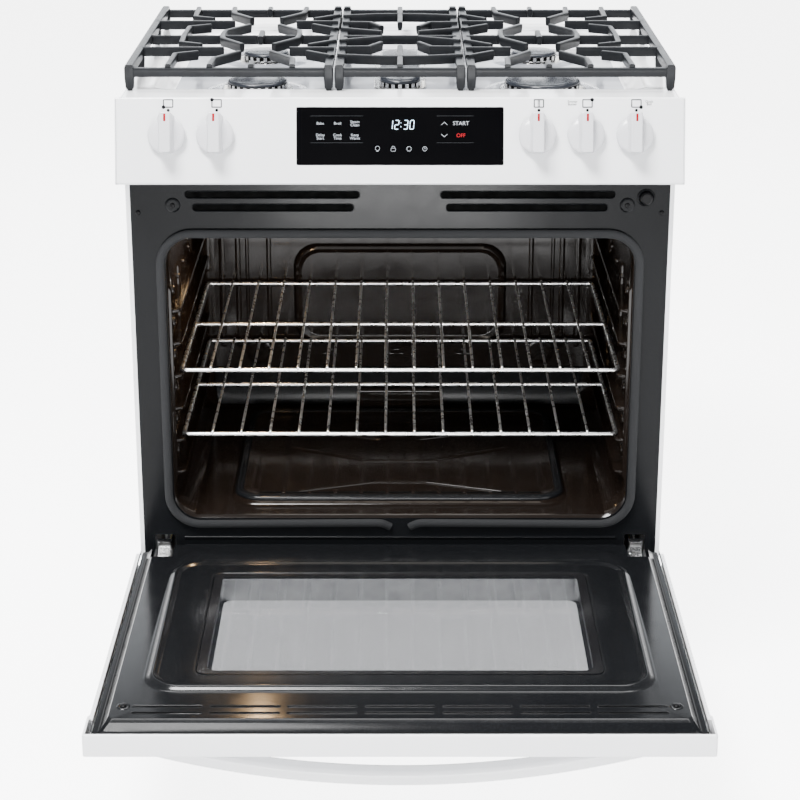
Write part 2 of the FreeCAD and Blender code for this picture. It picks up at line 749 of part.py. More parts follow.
depth_y = thick / math.cos(tilt)
inside_low = (panel_y(low_z + thick) + depth_y, low_z + thick)
inside_high = (panel_y(high_z - 1) + depth_y, high_z - 1)
panel_body = new_body("control_panel_shell")
panel_sketch = polygon(panel_body, "panel_profile", "YZ_Plane", [
    (front - panel_low_out, panel_bottom), (front - 4, panel_bottom),
    (front - 4, panel_bottom + panel_wall), inside_low, inside_high,
    (front - panel_high_out, panel_top)])
pad(panel_body, panel_sketch, wide_width, middle=True)
end_points = [(low_front + 1, low_z), (F - 4, low_z), (F - 4, basin - 6), (F - 29, basin - 6),
              inside_high, (panel_y(high_z - 1) + 1, high_z - 1)]
ends = []
for side in (-1, 1):
    end_body = new_body("panel_end")
    end_sketch = polygon(end_body, "panel_end_profile", "YZ_Plane", end_points,
                         half_wide - panel_wall if side > 0 else -half_wide)
    pad(end_body, end_sketch, panel_wall)
    ends.append(end_body)
knob_xs = (-310.0, -245.6, 182.5, 247.0, 312.0)
knob_z = 855.7
display_z = 855.0
display_block = Part.makeBox(float(display_width), float(display_height), 3,
                             Vector(-float(display_width) / 2, -float(display_height) / 2, -3))
window_tool = Part.makeBox(float(display_width) + 0.4, float(display_height) + 0.4, 20,
                           Vector(-float(display_width) / 2 - 0.2, -float(display_height) / 2 - 0.2, -10))
panel_tools = [feature("display_window", placed(window_tool, on_panel(0, display_z)))]
for x in knob_xs:
    hole = Part.makeCylinder(7, 20, Vector(0, 0, -10))
    panel_tools.append(feature("stem_hole", placed(hole, on_panel(x, knob_z))))
keep(cut("control_panel", fuse("panel_blank", [panel_body] + ends), panel_tools))
keep(feature("display_glass", placed(display_block, on_panel(0, display_z))))
board_case = Part.makeBox(262, 45, 22, Vector(-131, -33, -27))
board_plate = Part.makeBox(284, 38, 2, Vector(-142, -28, -29))
keep(feature("control_board", placed(joined([board_case, board_plate]), on_panel(0, display_z))))

valve_shapes = []
for x in knob_xs:
    valve = Part.makeCylinder(12, 36, Vector(0, 0, -66)).fuse(Part.makeCylinder(7.5, 4, Vector(0, 0, -30)))
    bore = Part.makeCylinder(float(stem_radius) + 0.06, 24, Vector(0, 0, -48))
    valve_shapes.append(placed(valve.removeSplitter().cut(bore), on_panel(x, knob_z)))
pipe_centre = on_panel(0, knob_z).multVec(Vector(0, 0, -74))
pipe_radius = 9.0
pipe_wall = 2.5
riser_x = 345.0
riser_y = F + 575
manifold_end = -335.0
riser_end = 128.0


def manifold_run(radius, beyond):
    """The manifold's route as a solid rod, carried past both ends."""
    return pipe([(manifold_end - beyond, pipe_centre.y, pipe_centre.z), (riser_x, pipe_centre.y, pipe_centre.z),
                 (riser_x, riser_y, pipe_centre.z), (riser_x, riser_y, riser_end - beyond)], radius, 22)


manifold = manifold_run(pipe_radius, 0)
keep(feature("gas_manifold", manifold.cut(manifold_run(pipe_radius - pipe_wall, 5))))
keep(feature("burner_valves", Part.makeCompound([shape.cut(manifold) for shape in valve_shapes])))

tube_radius = 4.0
valve_axis = on_panel(0, knob_z).multVec(Vector(0, 0, -50))
routes = ((-310.0, -float(burner_x), F + float(burner_front), 867.0, F + 40),
          (-245.6, -float(burner_x), F + float(burner_back), 855.5, F + 240),
          (182.5, 0.0, oval_y - oval_half, 861.0, F + 40),
          (247.0, float(burner_x), F + float(burner_back), 855.5, F + 240),
          (312.0, float(burner_x), F + float(burner_front), 867.0, F + 40))
tubes = []
for (x, burner, burner_y, level, swing), valve in zip(routes, valve_shapes):
    tube = pipe([(x, valve_axis.y, valve_axis.z + 9), (x, valve_axis.y, level), (x, swing, level),
                 (burner, burner_y - spud - 40, level), (burner, burner_y, level)], tube_radius, 5.0)
    tube = tube.cut(Part.makeCylinder(spud, 60, Vector(burner, burner_y, 840)))
    tubes.append(tube.cut(valve))
keep(feature("gas_tubes", Part.makeCompound(tubes)))

regulator = joined([Part.makeBox(46, 46, 68, Vector(riser_x - 23, riser_y - 23, 60)),
                    Part.makeCylinder(13, 27, Vector(riser_x, riser_y + 23, 92), Vector(0, 1, 0))])
regulator = regulator.cut(Part.makeCylinder(9.9, 18, Vector(riser_x, riser_y + 32.1, 92), Vector(0, 1, 0)))
keep(feature("pressure_regulator", regulator))

gland_x, gland_z = -300.0, 220.0
gland_plate = Part.makeBox(30, 2, 30, Vector(gland_x - 15, float(back) - 2, gland_z - 15))
gland_boss = Part.makeCylinder(12, 10, Vector(gland_x, float(back) - 12, gland_z), Vector(0, 1, 0))
gland_bore = Part.makeCylinder(4.5, 30, Vector(gland_x, float(back) - 20, gland_z), Vector(0, 1, 0))
keep(feature("cord_gland", joined([gland_plate, gland_boss]).cut(gland_bore)))

stem_depth = -44
stem_reach = knob_gap + 17
for index, x in enumerate(knob_xs, 1):
    place = on_panel(x, knob_z)
    name = f"knob_{index}"
    skirt_outline = [(0, knob_gap), (knob_radius, knob_gap), (knob_radius, knob_gap + 4),
                     (knob_radius - 4, knob_gap + 9), (0, knob_gap + 9)]
    body = turned(name, skirt_outline, None, place)
    grip = polygon(body, name + "_grip", "XY_Plane", rectangle(-8.8, -24.5, 8.8, 29.5), knob_gap + 8)
    pad(body, grip, knob_height - knob_gap - 8)
    doc.recompute()
    bore = circle(body, name + "_bore", "XY_Plane", stem_radius + 0.05, knob_gap)
    pocket(body, bore, 18, backwards=True)
    keep(body)
    stem_outline = [(0, stem_depth), (stem_radius, stem_depth), (stem_radius, stem_reach), (0, stem_reach)]
    keep(turned(f"valve_stem_{index}", stem_outline, None, place))

plunger_outline = [(0, 0), (8.6, 0), (8.6, 9), (6.5, 10.4), (0, 10.4)]
keep(turned("door_light_switch", plunger_outline, None, FreeCAD.Placement(
    Vector(switch_at[0], F + 2, switch_at[1]), FreeCAD.Rotation(Vector(0, 0, 1), Vector(0, -1, 0)))))

# ---------------------------------------------------------------- door, drawn open

door_y = front - door_reach
near_y = front - door_near
face = door_face_z
inner = door_inner_z

outer_blank = box("door_skin", (-half_wide, front - trim_start, face), (half_wide, near_y, face + sheet_wall))
returns = []
for side in (-1, 1):
    low_x = -half_wide if side < 0 else half_wide - sheet_wall
    returns.append(box("door_return", (low_x, front - trim_start, face + sheet_wall),
                       (low_x + sheet_wall, near_y, face + 15)))
    flange_x = -half_wide + sheet_wall if side < 0 else half_wide - hem_width
    returns.append(box("door_flange", (flange_x, front - trim_start, face + 13),
                       (flange_x + hem_width - sheet_wall, near_y, face + 15)))
window_cut = feature("window_cut", slab(-float(window_width) / 2 - 20, float(window_width) / 2 + 20,
                                        F - float(window_far) - 12, F - float(window_near) + 12,
                                        float(face) - 5, float(face) + 8, 8))
keep(cut("door_outer_panel", fuse("door_outer_blank", [outer_blank] + returns), [window_cut]))
keep(feature("door_outer_glass", slab(-float(window_width) / 2 - 19.6, float(window_width) / 2 + 19.6,
                                      F - float(window_far) - 11.6, F - float(window_near) + 11.6,
                                      float(face), float(face) + 3, 8)))

trim_parts = [
    box("trim_face", (-half_wide, door_y, face), (half_wide, front - trim_start, face + sheet_wall)),
    box("trim_end", (-half_wide, door_y, face + sheet_wall),
        (half_wide, door_y + sheet_wall, face + trim_depth))]
for side in (-1, 1):
    low_x = -half_wide if side < 0 else half_wide - sheet_wall
    trim_parts.append(box("trim_side", (low_x, door_y + sheet_wall, face + sheet_wall),
                          (low_x + sheet_wall, front - 526, face + trim_depth)))
    lip_x = -half_wide + sheet_wall if side < 0 else half_wide - hem_width
    trim_parts.append(box("trim_lip", (lip_x, door_y + sheet_wall, face + trim_depth - sheet_wall),
                          (lip_x + hem_width - sheet_wall, front - 526, face + trim_depth)))
keep(fuse("door_top_trim", trim_parts))

half_handle = 368.0
stand = float(handle_stand)
outer_radius = (half_handle ** 2 + stand ** 2) / (2 * stand)
face_z = float(face)
handle_y = F - 541
bow = Part.makeCylinder(outer_radius, float(handle_width),
                        Vector(0, handle_y, face_z - stand + outer_radius), Vector(0, 1, 0))
hollow = Part.makeCylinder(outer_radius - float(handle_bar), float(handle_width) + 2,
                           Vector(0, handle_y - 1, face_z - stand + outer_radius), Vector(0, 1, 0))
below = Part.makeBox(900, 100, stand + 5, Vector(-450, handle_y - 30, face_z - stand - 5))
keep(feature("door_handle", bow.cut(hollow).common(below)))

liner_parts = [
    box("liner_flat", (-352, front - 548, inner - sheet_wall), (352, front - 22, inner)),
    box("liner_skirt_left", (-354, front - 548, face + 9), (-352, front - 22, inner)),
    box("liner_skirt_right", (352, front - 548, face + 9), (354, front - 22, inner)),
    box("liner_foot_left", (-371, front - 570, face + 9), (-354, front - 22, face + 11)),
    box("liner_foot_right", (354, front - 570, face + 9), (371, front - 22, face + 11)),
    box("liner_near", (-352, front - 24, face + 9), (352, front - 22, inner - sheet_wall)),
    box("liner_far", (-352, front - 548, face + 9), (352, front - 546, inner - sheet_wall)),
    box("liner_far_foot", (-354, front - 570, face + 9), (354, front - 548, face + 11))]
plug = slab(-317, 317, F - 480, F - 88, float(inner) - 2, float(inner) + 6, 40)
plug_top = [edge for edge in plug.Edges if edge.BoundBox.ZMin > float(inner) + 5.9]
plug = plug.makeChamfer(5.5, plug_top)
plug_inside = slab(-314.5, 314.5, F - 477.5, F - 90.5, float(inner) - 5, float(inner) + 4, 38)
inside_top = [edge for edge in plug_inside.Edges if edge.BoundBox.ZMin > float(inner) + 3.9]
plug_inside = plug_inside.makeChamfer(5.5, inside_top)
liner_parts.append(feature("liner_plug", plug))
liner_cuts = [feature("liner_plug_inside", plug_inside)]
view_hole = slab(-float(window_width) / 2 + 12, float(window_width) / 2 - 12, F - float(window_far) + 2,
                 F - float(window_near) - 2, float(inner) - 8, float(inner) + 12, 10)
liner_cuts.append(feature("liner_view_hole", view_hole))
for side in (-1, 1):
    middle = side * float(hinge_x)
    notch = Part.makeBox(32, 46, 60, Vector(middle - 16, F - 66, float(face) + 3))
    liner_cuts.append(feature("hinge_notch", notch))
slot_pitch = 94.0
slot_half = 43.0
for row_y in (F - 518, F - 535):
    for index in range(-3, 4):
        low_x = index * slot_pitch - slot_half
        slot = slab(low_x, low_x + 2 * slot_half, row_y - 2.6, row_y + 2.6,
                    float(inner) - 6, float(inner) + 6, 2.5)
        liner_cuts.append(feature("liner_vent", slot))
keep(cut("door_liner", fuse("door_liner_blank", liner_parts), liner_cuts))

pane = slab(-float(window_width) / 2, float(window_width) / 2, F - float(window_far) - 4,
            F - float(window_near) + 4, float(inner) - 1, float(inner) + 3.8, 12)
keep(feature("door_inner_glass", pane))
ring_low = float(face) + 3.2
ring_high = float(inner) - 1.2
ring_wall = 1.5


def window_slab(grow, low_z, high_z):
    """A block over the window's plan, grown on every side."""
    return slab(-float(window_width) / 2 - grow, float(window_width) / 2 + grow, F - float(window_far) - grow,
                F - float(window_near) + grow, low_z, high_z, 8)


ring = window_slab(8, ring_low, ring_high).cut(window_slab(-8, ring_low - 5, ring_high + 5))
channel_room = window_slab(8 - ring_wall, ring_low - 1, ring_high - ring_wall)
channel_room = channel_room.cut(window_slab(ring_wall - 8, ring_low - 5, ring_high + 5))
keep(feature("door_window_frame", ring.cut(channel_room)))

channels = []
arms = []
locks = []
pin_radius = 5.0
pin_y = F - float(hinge_out)
pin_z = float(hinge_z)
lock_y = F - 12
lock_z = pin_z + 14
for side in (-1, 1):
    middle = side * float(hinge_x)
    pin_hole = Part.makeCylinder(pin_radius + 0.05, 60, Vector(middle - 30, pin_y, pin_z), Vector(1, 0, 0))
    for cheek in (-1, 1):
        cheek_x = middle + cheek * 11.6 - 1.0
        plate = Part.makeBox(2, 150, 26, Vector(cheek_x, F - 172, float(face) + 3))
        lug = Part.makeBox(2, 14, 22, Vector(cheek_x, F - 40, float(face) + 3))
        channels.append(plate.fuse(lug).cut(pin_hole).removeSplitter())
    web = Part.makeBox(25.2, 110, 1.5, Vector(middle - 12.6, F - 172, float(face) + 2))
    channels.append(web)
    outline = [(pin_y + 3, pin_z - 9), (F + 40, pin_z - 9), (F + 40, pin_z + 22), (F - 10, pin_z + 22),
               (pin_y - 3, pin_z + 9)]
    wire = Part.makePolygon([Vector(middle - 8, y, z) for y, z in outline + outline[:1]])
    arm = Part.Face(wire).extrude(Vector(16, 0, 0))
    boss = Part.makeCylinder(9, 16, Vector(middle - 8, pin_y, pin_z), Vector(1, 0, 0))
    pin = Part.makeCylinder(pin_radius, 27, Vector(middle - 13.5, pin_y, pin_z), Vector(1, 0, 0))
    lock_pin = Part.makeCylinder(2, 20, Vector(middle - 10, lock_y, lock_z), Vector(1, 0, 0))
    hollow_arm = Part.makeBox(11, 60, 20, Vector(middle - 5.5, F - 6, pin_z + 6))
    arms.append(joined([arm, boss, pin, lock_pin]).cut(hollow_arm))
    lock = Part.makeBox(20, 8, 2, Vector(middle - 10, lock_y - 4, lock_z + 10.5))
    for cheek in (-1, 1):
        low_x = middle + cheek * 9.15 - 0.85
        lock = lock.fuse(Part.makeBox(1.7, 8, 15, Vector(low_x, lock_y - 4, lock_z - 4)))
    lock_bore = Part.makeCylinder(2.05, 30, Vector(middle - 15, lock_y, lock_z), Vector(1, 0, 0))
    locks.append(lock.removeSplitter().cut(lock_bore))
keep(feature("hinge_channels", joined(channels)))
keep(feature("hinge_arms", Part.makeCompound(arms)))
keep(feature("hinge_lock_left", locks[0]))
keep(feature("hinge_lock_right", locks[1]))

# ---------------------------------------------------------------- storage drawer

drawer_body = new_body("drawer_front")
drawer_sketch = polygon(drawer_body, "drawer_front_profile", "YZ_Plane", [
    (front - 46, 38), (front - 22, 38), (front - 22, drawer_top), (front - 34, drawer_top),
    (front - 36, drawer_top - 14), (front - 44, drawer_top - 14), (front - 46, drawer_top - 10)])
pad(drawer_body, drawer_sketch, wide_width, middle=True)
drawer_room = polygon(drawer_body, "drawer_front_room", "YZ_Plane",
                      rectangle(front - 44, 40, front - 21, drawer_top - 18))
pocket(drawer_body, drawer_room, wide_width - 4, middle=True)
keep(drawer_body)

drawer_half = 335.0
drawer_near = front - 22
drawer_far = front + 500
tub = cut("drawer_tub",
          box("tub_outer", (-drawer_half, drawer_near, 60), (drawer_half, drawer_far, 190)),
          [box("tub_inner", (-drawer_half + sheet_wall, drawer_near + sheet_wall, 60 + sheet_wall),
               (drawer_half - sheet_wall, drawer_far - sheet_wall, 200))])
slides = []
rails_out = []
rail_x = 368.0
rail_top = 100.0
for side in (-1, 1):
    low_x = 4 - rail_x if side < 0 else drawer_half
    slides.append(box("drawer_slide", (low_x, front + 30, rail_top + 0.4),
                      (low_x + 29, drawer_far - 4, rail_top + 4)))
    flange_x = -rail_x if side < 0 else rail_x - 18
    rails_out.append(box("rail_flange", (flange_x, front + 10, rail_top - 4),
                         (flange_x + 18, front + 520, rail_top)))
    web_x = -rail_x if side < 0 else rail_x - 2
    rails_out.append(box("rail_web", (web_x, front + 10, rail_top), (web_x + 2, front + 520, rail_top + 40)))
    tab_low = -half_body + sheet_wall if side < 0 else rail_x
    tab_high = -rail_x if side < 0 else half_body - sheet_wall
    for spot in (40, 440):
        rails_out.append(box("rail_tab", (tab_low, front + spot, rail_top + 10),
                             (tab_high, front + spot + 30, rail_top + 30)))
keep(fuse("drawer_box", [tub] + slides))
keep(fuse("drawer_rails", rails_out))

# ---------------------------------------------------------------- check and write

doc.recompute()
for obj in doc.Objects:
    if "Invalid" in obj.State or "Error" in obj.State:
        raise RuntimeError(f"{obj.Label} did not compute: {obj.State}")
labels = [obj.Label for obj in parts]
if len(set(labels)) != len(labels) or len(labels) > 60:
    raise RuntimeError(f"labels repeat or are too many: {len(labels)}")
for obj in parts:
    if obj.Shape.isNull() or not obj.Shape.isValid():
        raise RuntimeError(f"{obj.Label} has no valid shape")
    obj.Shape.exportStep(f"parts/{obj.Label}.step")
    print(f"{obj.Label}: {obj.Shape.Volume / 1000:.1f} cm3, {len(obj.Shape.Solids)} solids")
print(len(parts), "nodes")
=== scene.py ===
import json
import math
import bmesh
import bpy
from mathutils import Matrix, Vector


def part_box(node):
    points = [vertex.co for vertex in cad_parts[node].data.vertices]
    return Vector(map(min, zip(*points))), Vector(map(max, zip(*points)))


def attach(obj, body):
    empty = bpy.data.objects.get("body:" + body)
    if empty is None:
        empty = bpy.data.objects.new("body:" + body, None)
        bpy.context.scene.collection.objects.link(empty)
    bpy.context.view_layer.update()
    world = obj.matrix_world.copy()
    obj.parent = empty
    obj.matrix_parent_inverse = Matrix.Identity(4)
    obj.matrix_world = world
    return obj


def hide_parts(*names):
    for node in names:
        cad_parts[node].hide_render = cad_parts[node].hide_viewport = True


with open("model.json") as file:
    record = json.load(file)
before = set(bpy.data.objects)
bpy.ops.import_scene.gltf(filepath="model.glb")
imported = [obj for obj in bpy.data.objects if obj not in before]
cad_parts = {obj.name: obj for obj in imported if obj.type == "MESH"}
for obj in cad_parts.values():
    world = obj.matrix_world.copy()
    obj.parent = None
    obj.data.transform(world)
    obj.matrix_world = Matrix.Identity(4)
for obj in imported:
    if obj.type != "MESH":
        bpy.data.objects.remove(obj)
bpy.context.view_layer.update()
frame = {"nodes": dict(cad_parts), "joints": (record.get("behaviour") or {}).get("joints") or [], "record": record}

# Freestanding gas range with its oven door open. Metres, +Z up, the front faces -Y.

NODES = frame["nodes"]
MM = 0.001

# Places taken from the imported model.
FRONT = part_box("side_panel_left")[0].y
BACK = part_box("back_panel")[1].y
HALF_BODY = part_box("side_panel_right")[1].x
HALF_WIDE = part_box("door_outer_panel")[1].x
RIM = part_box("cooktop")[1].z
GRATE_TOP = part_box("grate_left")[1].z
PANEL_LOW, PANEL_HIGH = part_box("control_panel")
KNOB_AXES = {j["child"]: (Vector(j["pos_m"]), Vector(j["axis"])) for j in frame["joints"]
             if j["name"].endswith("_turn")}
FACE_NORMAL = KNOB_AXES["knob_1"][1].normalized()
FACE_UP = Vector((0, FACE_NORMAL.z, -FACE_NORMAL.y))
DOOR_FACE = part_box("door_outer_panel")[0].z
CAVITY_LOW, CAVITY_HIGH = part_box("oven_liner")
WALL = 1.2 * MM


# ---------------------------------------------------------------- materials

def shader(name, color, roughness, metallic=0.0, coat=0.0, coat_roughness=0.05, **sockets):
    """A material with a principled shader whose constants sit on its own sockets."""
    material = bpy.data.materials.new(name)
    material.use_nodes = True
    principled = material.node_tree.nodes["Principled BSDF"]
    principled.inputs["Base Color"].default_value = (*color, 1)
    principled.inputs["Roughness"].default_value = roughness
    principled.inputs["Metallic"].default_value = metallic
    principled.inputs["Coat Weight"].default_value = coat
    principled.inputs["Coat Roughness"].default_value = coat_roughness
    for socket, value in sockets.items():
        principled.inputs[socket.replace("_", " ")].default_value = value
    return material


def shade(color, factor):
    """The same tone, darker or brighter."""
    return tuple(channel * factor for channel in color)


def coordinates(material, stretch=(1, 1, 1)):
    """The object's own coordinates, stretched along its axes."""
    nodes, links = material.node_tree.nodes, material.node_tree.links
    place = nodes.new("ShaderNodeTexCoord")
    mapping = nodes.new("ShaderNodeMapping")
    mapping.inputs["Scale"].default_value = stretch
    links.new(place.outputs["Object"], mapping.inputs["Vector"])
    return mapping.outputs["Vector"]


def noise(material, scale, detail=3.0, stretch=(1, 1, 1)):
    """A noise pattern in the object's coordinates."""
    made = material.node_tree.nodes.new("ShaderNodeTexNoise")
    made.inputs["Scale"].default_value = scale
    made.inputs["Detail"].default_value = detail
    material.node_tree.links.new(coordinates(material, stretch), made.inputs["Vector"])
    return made.outputs["Fac"]


def cells(material, scale, stretch=(1, 1, 1)):
    """A cell pattern, the distance to each cell's centre."""
    made = material.node_tree.nodes.new("ShaderNodeTexVoronoi")
    made.inputs["Scale"].default_value = scale
    material.node_tree.links.new(coordinates(material, stretch), made.inputs["Vector"])
    return made.outputs["Distance"]


def colour_from(material, pattern, low, high, start=0.3, stop=0.7):
    """Base colour runs between two tones along a pattern."""
    ramp = material.node_tree.nodes.new("ShaderNodeValToRGB")
    for element, place, tone in zip(ramp.color_ramp.elements, (start, stop), (low, high)):
        element.position = place
        element.color = (*tone, 1)
    principled = material.node_tree.nodes["Principled BSDF"]
    material.node_tree.links.new(pattern, ramp.inputs["Fac"])
    material.node_tree.links.new(ramp.outputs["Color"], principled.inputs["Base Color"])


def roughness_from(material, pattern, low, high, start=0.3, stop=0.7):
    """Roughness runs between two values along a pattern."""
    spread = material.node_tree.nodes.new("ShaderNodeMapRange")
    for socket, value in zip(("From Min", "From Max", "To Min", "To Max"), (start, stop, low, high)):
        spread.inputs[socket].default_value = value
    principled = material.node_tree.nodes["Principled BSDF"]
    material.node_tree.links.new(pattern, spread.inputs["Value"])
    material.node_tree.links.new(spread.outputs["Result"], principled.inputs["Roughness"])


def bump_from(material, pattern, strength, distance):
    """Bumps are chained, so one material can carry a coarse and a fine one."""
    bump = material.node_tree.nodes.new("ShaderNodeBump")
    bump.inputs["Strength"].default_value = strength
    bump.inputs["Distance"].default_value = distance
    principled = material.node_tree.nodes["Principled BSDF"]
    before = principled.inputs["Normal"].links
    if before:
        material.node_tree.links.new(before[0].from_socket, bump.inputs["Normal"])
    material.node_tree.links.new(pattern, bump.inputs["Height"])
    material.node_tree.links.new(bump.outputs["Normal"], principled.inputs["Normal"])


def white_enamel(name, low, high):
    """Gloss porcelain: a smooth white glaze with faint orange peel."""
    material = shader(name, low, 0.16, coat=0.3, coat_roughness=0.05)
    colour_from(material, noise(material, 6), low, high)
    roughness_from(material, noise(material, 30), 0.13, 0.2)
    bump_from(material, noise(material, 160, 2), 0.01, 0.0005)
    return material


def black_enamel(name, gloss):
    """Gloss black porcelain with fine speckle, used on the frame and the door liner."""
    material = shader(name, (0.005, 0.0053, 0.006), 0.2, Specular_IOR_Level=gloss)
    colour_from(material, noise(material, 900, 2), (0.0035, 0.0038, 0.0043), (0.012, 0.013, 0.015), 0.5,
                0.75)
    roughness_from(material, noise(material, 40), 0.14, 0.19)
    bump_from(material, noise(material, 260, 2), 0.008, 0.0003)
    return material


def cavity_enamel():
    """The oven's self-cleaning enamel: brown-black, speckled, a little duller."""
    material = shader("cavity_enamel", (0.006, 0.0042, 0.0033), 0.13, Specular_IOR_Level=0.24)
    colour_from(material, cells(material, 520), (0.035, 0.029, 0.025), (0.0062, 0.0042, 0.0032), 0.05, 0.1)
    roughness_from(material, noise(material, 25), 0.1, 0.16)
    bump_from(material, noise(material, 260, 2), 0.012, 0.0003)
    return material


def cast_iron():
    """Enamelled cast iron: satin grey with a sandy cast surface."""
    material = shader("cast_iron", (0.008, 0.0087, 0.01), 0.3, Specular_IOR_Level=0.13)
    colour_from(material, noise(material, 60, 4), (0.007, 0.0076, 0.0088), (0.0105, 0.0114, 0.013))
    roughness_from(material, noise(material, 180), 0.28, 0.36)
    bump_from(material, noise(material, 650, 3), 0.05, 0.0003)
    return material


def cap_enamel():
    """The burner caps' blue-grey gloss enamel."""
    material = shader("cap_enamel", (0.011, 0.013, 0.0175), 0.19, Specular_IOR_Level=0.4)
    colour_from(material, noise(material, 60, 2), (0.011, 0.013, 0.0175), (0.015, 0.0175, 0.023))
    roughness_from(material, noise(material, 40), 0.17, 0.25)
    bump_from(material, noise(material, 300, 2), 0.006, 0.0002)
    return material


def brushed(name, color, roughness, stretch):
    """Metal with fine lines along one direction."""
    material = shader(name, color, roughness, metallic=1.0)
    lines = noise(material, 60, 4, stretch)
    darker = shade(color, 0.82)
    colour_from(material, lines, darker, color)
    roughness_from(material, lines, roughness * 0.8, roughness * 1.25)
    bump_from(material, noise(material, 60, 4, stretch), 0.05, 0.0003)
    return material


def galvanised():
    """Zinc-coated sheet with soft spangle."""
    material = shader("galvanised", (0.13, 0.134, 0.138), 0.4, metallic=0.9)
    colour_from(material, cells(material, 70), (0.11, 0.113, 0.117), (0.15, 0.154, 0.158), 0.1, 0.8)
    roughness_from(material, noise(material, 45), 0.32, 0.5)
    bump_from(material, noise(material, 260, 2), 0.05, 0.0004)
    return material


def chrome(name, roughness, bright=0.82):
    """Plated or bare bright metal with faint wear."""
    material = shader(name, (bright,) * 3, roughness, metallic=1.0)
    colour_from(material, noise(material, 140, 2), (bright * 0.93,) * 3, (bright * 1.04,) * 3)
    roughness_from(material, noise(material, 90), roughness * 0.85, roughness * 1.3)
    bump_from(material, noise(material, 300, 2), 0.006, 0.0002)
    return material


def cast_metal(name, color, roughness=0.38):
    """Die-cast or forged metal with a grainy skin."""
    material = shader(name, color, roughness, metallic=1.0)
    colour_from(material, noise(material, 160, 3), shade(color, 0.85), color)
    roughness_from(material, noise(material, 100), roughness * 0.75, roughness * 1.3)
    bump_from(material, noise(material, 420, 3), 0.12, 0.0004)
    return material


def plastic(name, color, roughness, grain=0.05, gloss=0.5):
    """Moulded plastic with a fine grain."""
    material = shader(name, color, roughness, coat=0.3 * gloss, coat_roughness=0.2,
                      Specular_IOR_Level=gloss)
    colour_from(material, noise(material, 25), shade(color, 0.97), color)
    roughness_from(material, noise(material, 200), roughness * 0.85, roughness * 1.2)
    bump_from(material, noise(material, 700, 2), grain, 0.0003)
    return material


def clear_glass(name, color, alpha, roughness=0.03):
    """Tempered glass with a faint even haze."""
    material = shader(name, color, roughness, Alpha=alpha, Specular_IOR_Level=0.3)
    colour_from(material, noise(material, 5), shade(color, 0.95), color)
    roughness_from(material, noise(material, 12), roughness * 0.8, roughness * 1.6)
    return material


def gloss_glass():
    """The display's black glass."""
    material = shader("display_glass", (0.0014, 0.0014, 0.0017), 0.06, Specular_IOR_Level=0.04)
    colour_from(material, noise(material, 8), (0.0011, 0.0011, 0.0014), (0.0018, 0.0018, 0.0021))
    roughness_from(material, noise(material, 20), 0.04, 0.09)
    return material


def woven(name, color, scale, stretch):
    """Braided glass fibre."""
    material = shader(name, color, 0.8, Specular_IOR_Level=0.2)
    weave = material.node_tree.nodes.new("ShaderNodeTexWave")
    weave.inputs["Scale"].default_value = scale
    weave.inputs["Distortion"].default_value = 1.5
    weave.wave_type = "BANDS"
    weave.bands_direction = "DIAGONAL"
    material.node_tree.links.new(coordinates(material, stretch), weave.inputs["Vector"])
    darker = shade(color, 0.55)
    colour_from(material, weave.outputs["Fac"], darker, color, 0.2, 0.8)
    bump_from(material, weave.outputs["Fac"], 0.35, 0.0005)
    bump_from(material, noise(material, 1200, 2), 0.2, 0.0003)
    return material


def ink(name, color, glow=0.0):
    """Printed or lit marks, with the slight unevenness of print."""
    material = shader(name, color, 0.45, Specular_IOR_Level=0.05)
    colour_from(material, noise(material, 400), shade(color, 0.9), color)
    if glow:
        principled = material.node_tree.nodes["Principled BSDF"]
        principled.inputs["Emission Color"].default_value = (*color, 1)
        principled.inputs["Emission Strength"].default_value = glow
    return material


WHITE = white_enamel("white_enamel", (0.83, 0.835, 0.85), (0.85, 0.855, 0.868))
# The well is the white deck enamel greyed down: painted shade and reflection of the grates above it.
SHADED_WELL = white_enamel("well_painted_shade", (0.24, 0.252, 0.28), (0.26, 0.272, 0.3))
BLACK = black_enamel("black_enamel", 0.06)
LINER = black_enamel("liner_enamel", 0.26)
CAVITY = cavity_enamel()
RIM_ENAMEL = black_enamel("rim_enamel", 0.2)
IRON = cast_iron()
CAP = cap_enamel()
ALUMINIUM = chrome("burner_aluminium", 0.17, 0.6)
STEEL = galvanised()
CHROME = chrome("chrome", 0.27)
HINGE_CHROME = chrome("hinge_chrome", 0.14)
BRASS = cast_metal("valve_brass", (0.5, 0.36, 0.15), 0.3)
TUBE = brushed("pipe_steel", (0.32, 0.32, 0.33), 0.32, (12, 1, 1))
DIE_CAST = cast_metal("regulator_cast", (0.3, 0.3, 0.31))
WINDOW = clear_glass("door_glass", (0.02, 0.021, 0.024), 0.27)
LAMP = clear_glass("lamp_glass", (1.0, 0.86, 0.66), 0.55, 0.12)
DISPLAY = gloss_glass()
BOARD = plastic("board_plastic", (0.03, 0.03, 0.033), 0.55)
# The knobs are white; their grey base colour is painted shade that sets them off from the panel.
SHADED_KNOB = plastic("knob_white", (0.6, 0.6, 0.625), 0.22, 0.01)
GASKET = woven("gasket_fibre", (0.014, 0.0147, 0.016), 330, (1, 1, 1))
BLANKET = woven("blanket_fibre", (0.75, 0.66, 0.4), 60, (1, 3, 1))
FOOT = plastic("foot_plastic", (0.05, 0.05, 0.052), 0.6)
SWITCH = plastic("switch_plastic", (0.004, 0.004, 0.0045), 0.3, gloss=0.05)
BLACK_INK = ink("black_print", (0.006, 0.006, 0.007))
RED_INK = ink("red_pointer", (0.26, 0.002, 0.008))
DIGITS = ink("lit_digits", (0.62, 0.82, 1.0), 2.2)
LABELS = ink("printed_labels", (0.32, 0.34, 0.37))
DIM_LINES = ink("dim_lines", (0.035, 0.037, 0.04))
RED_LABEL = ink("red_label", (0.3, 0.015, 0.02))
GLOW = ink("lamp_glow", (1.0, 0.72, 0.38), 6.0)
CERAMIC = plastic("spark_ceramic", (0.85, 0.84, 0.8), 0.35)
FRIT = shader("black_frit", (0.006, 0.006, 0.0065), 0.14, Specular_IOR_Level=0.3)
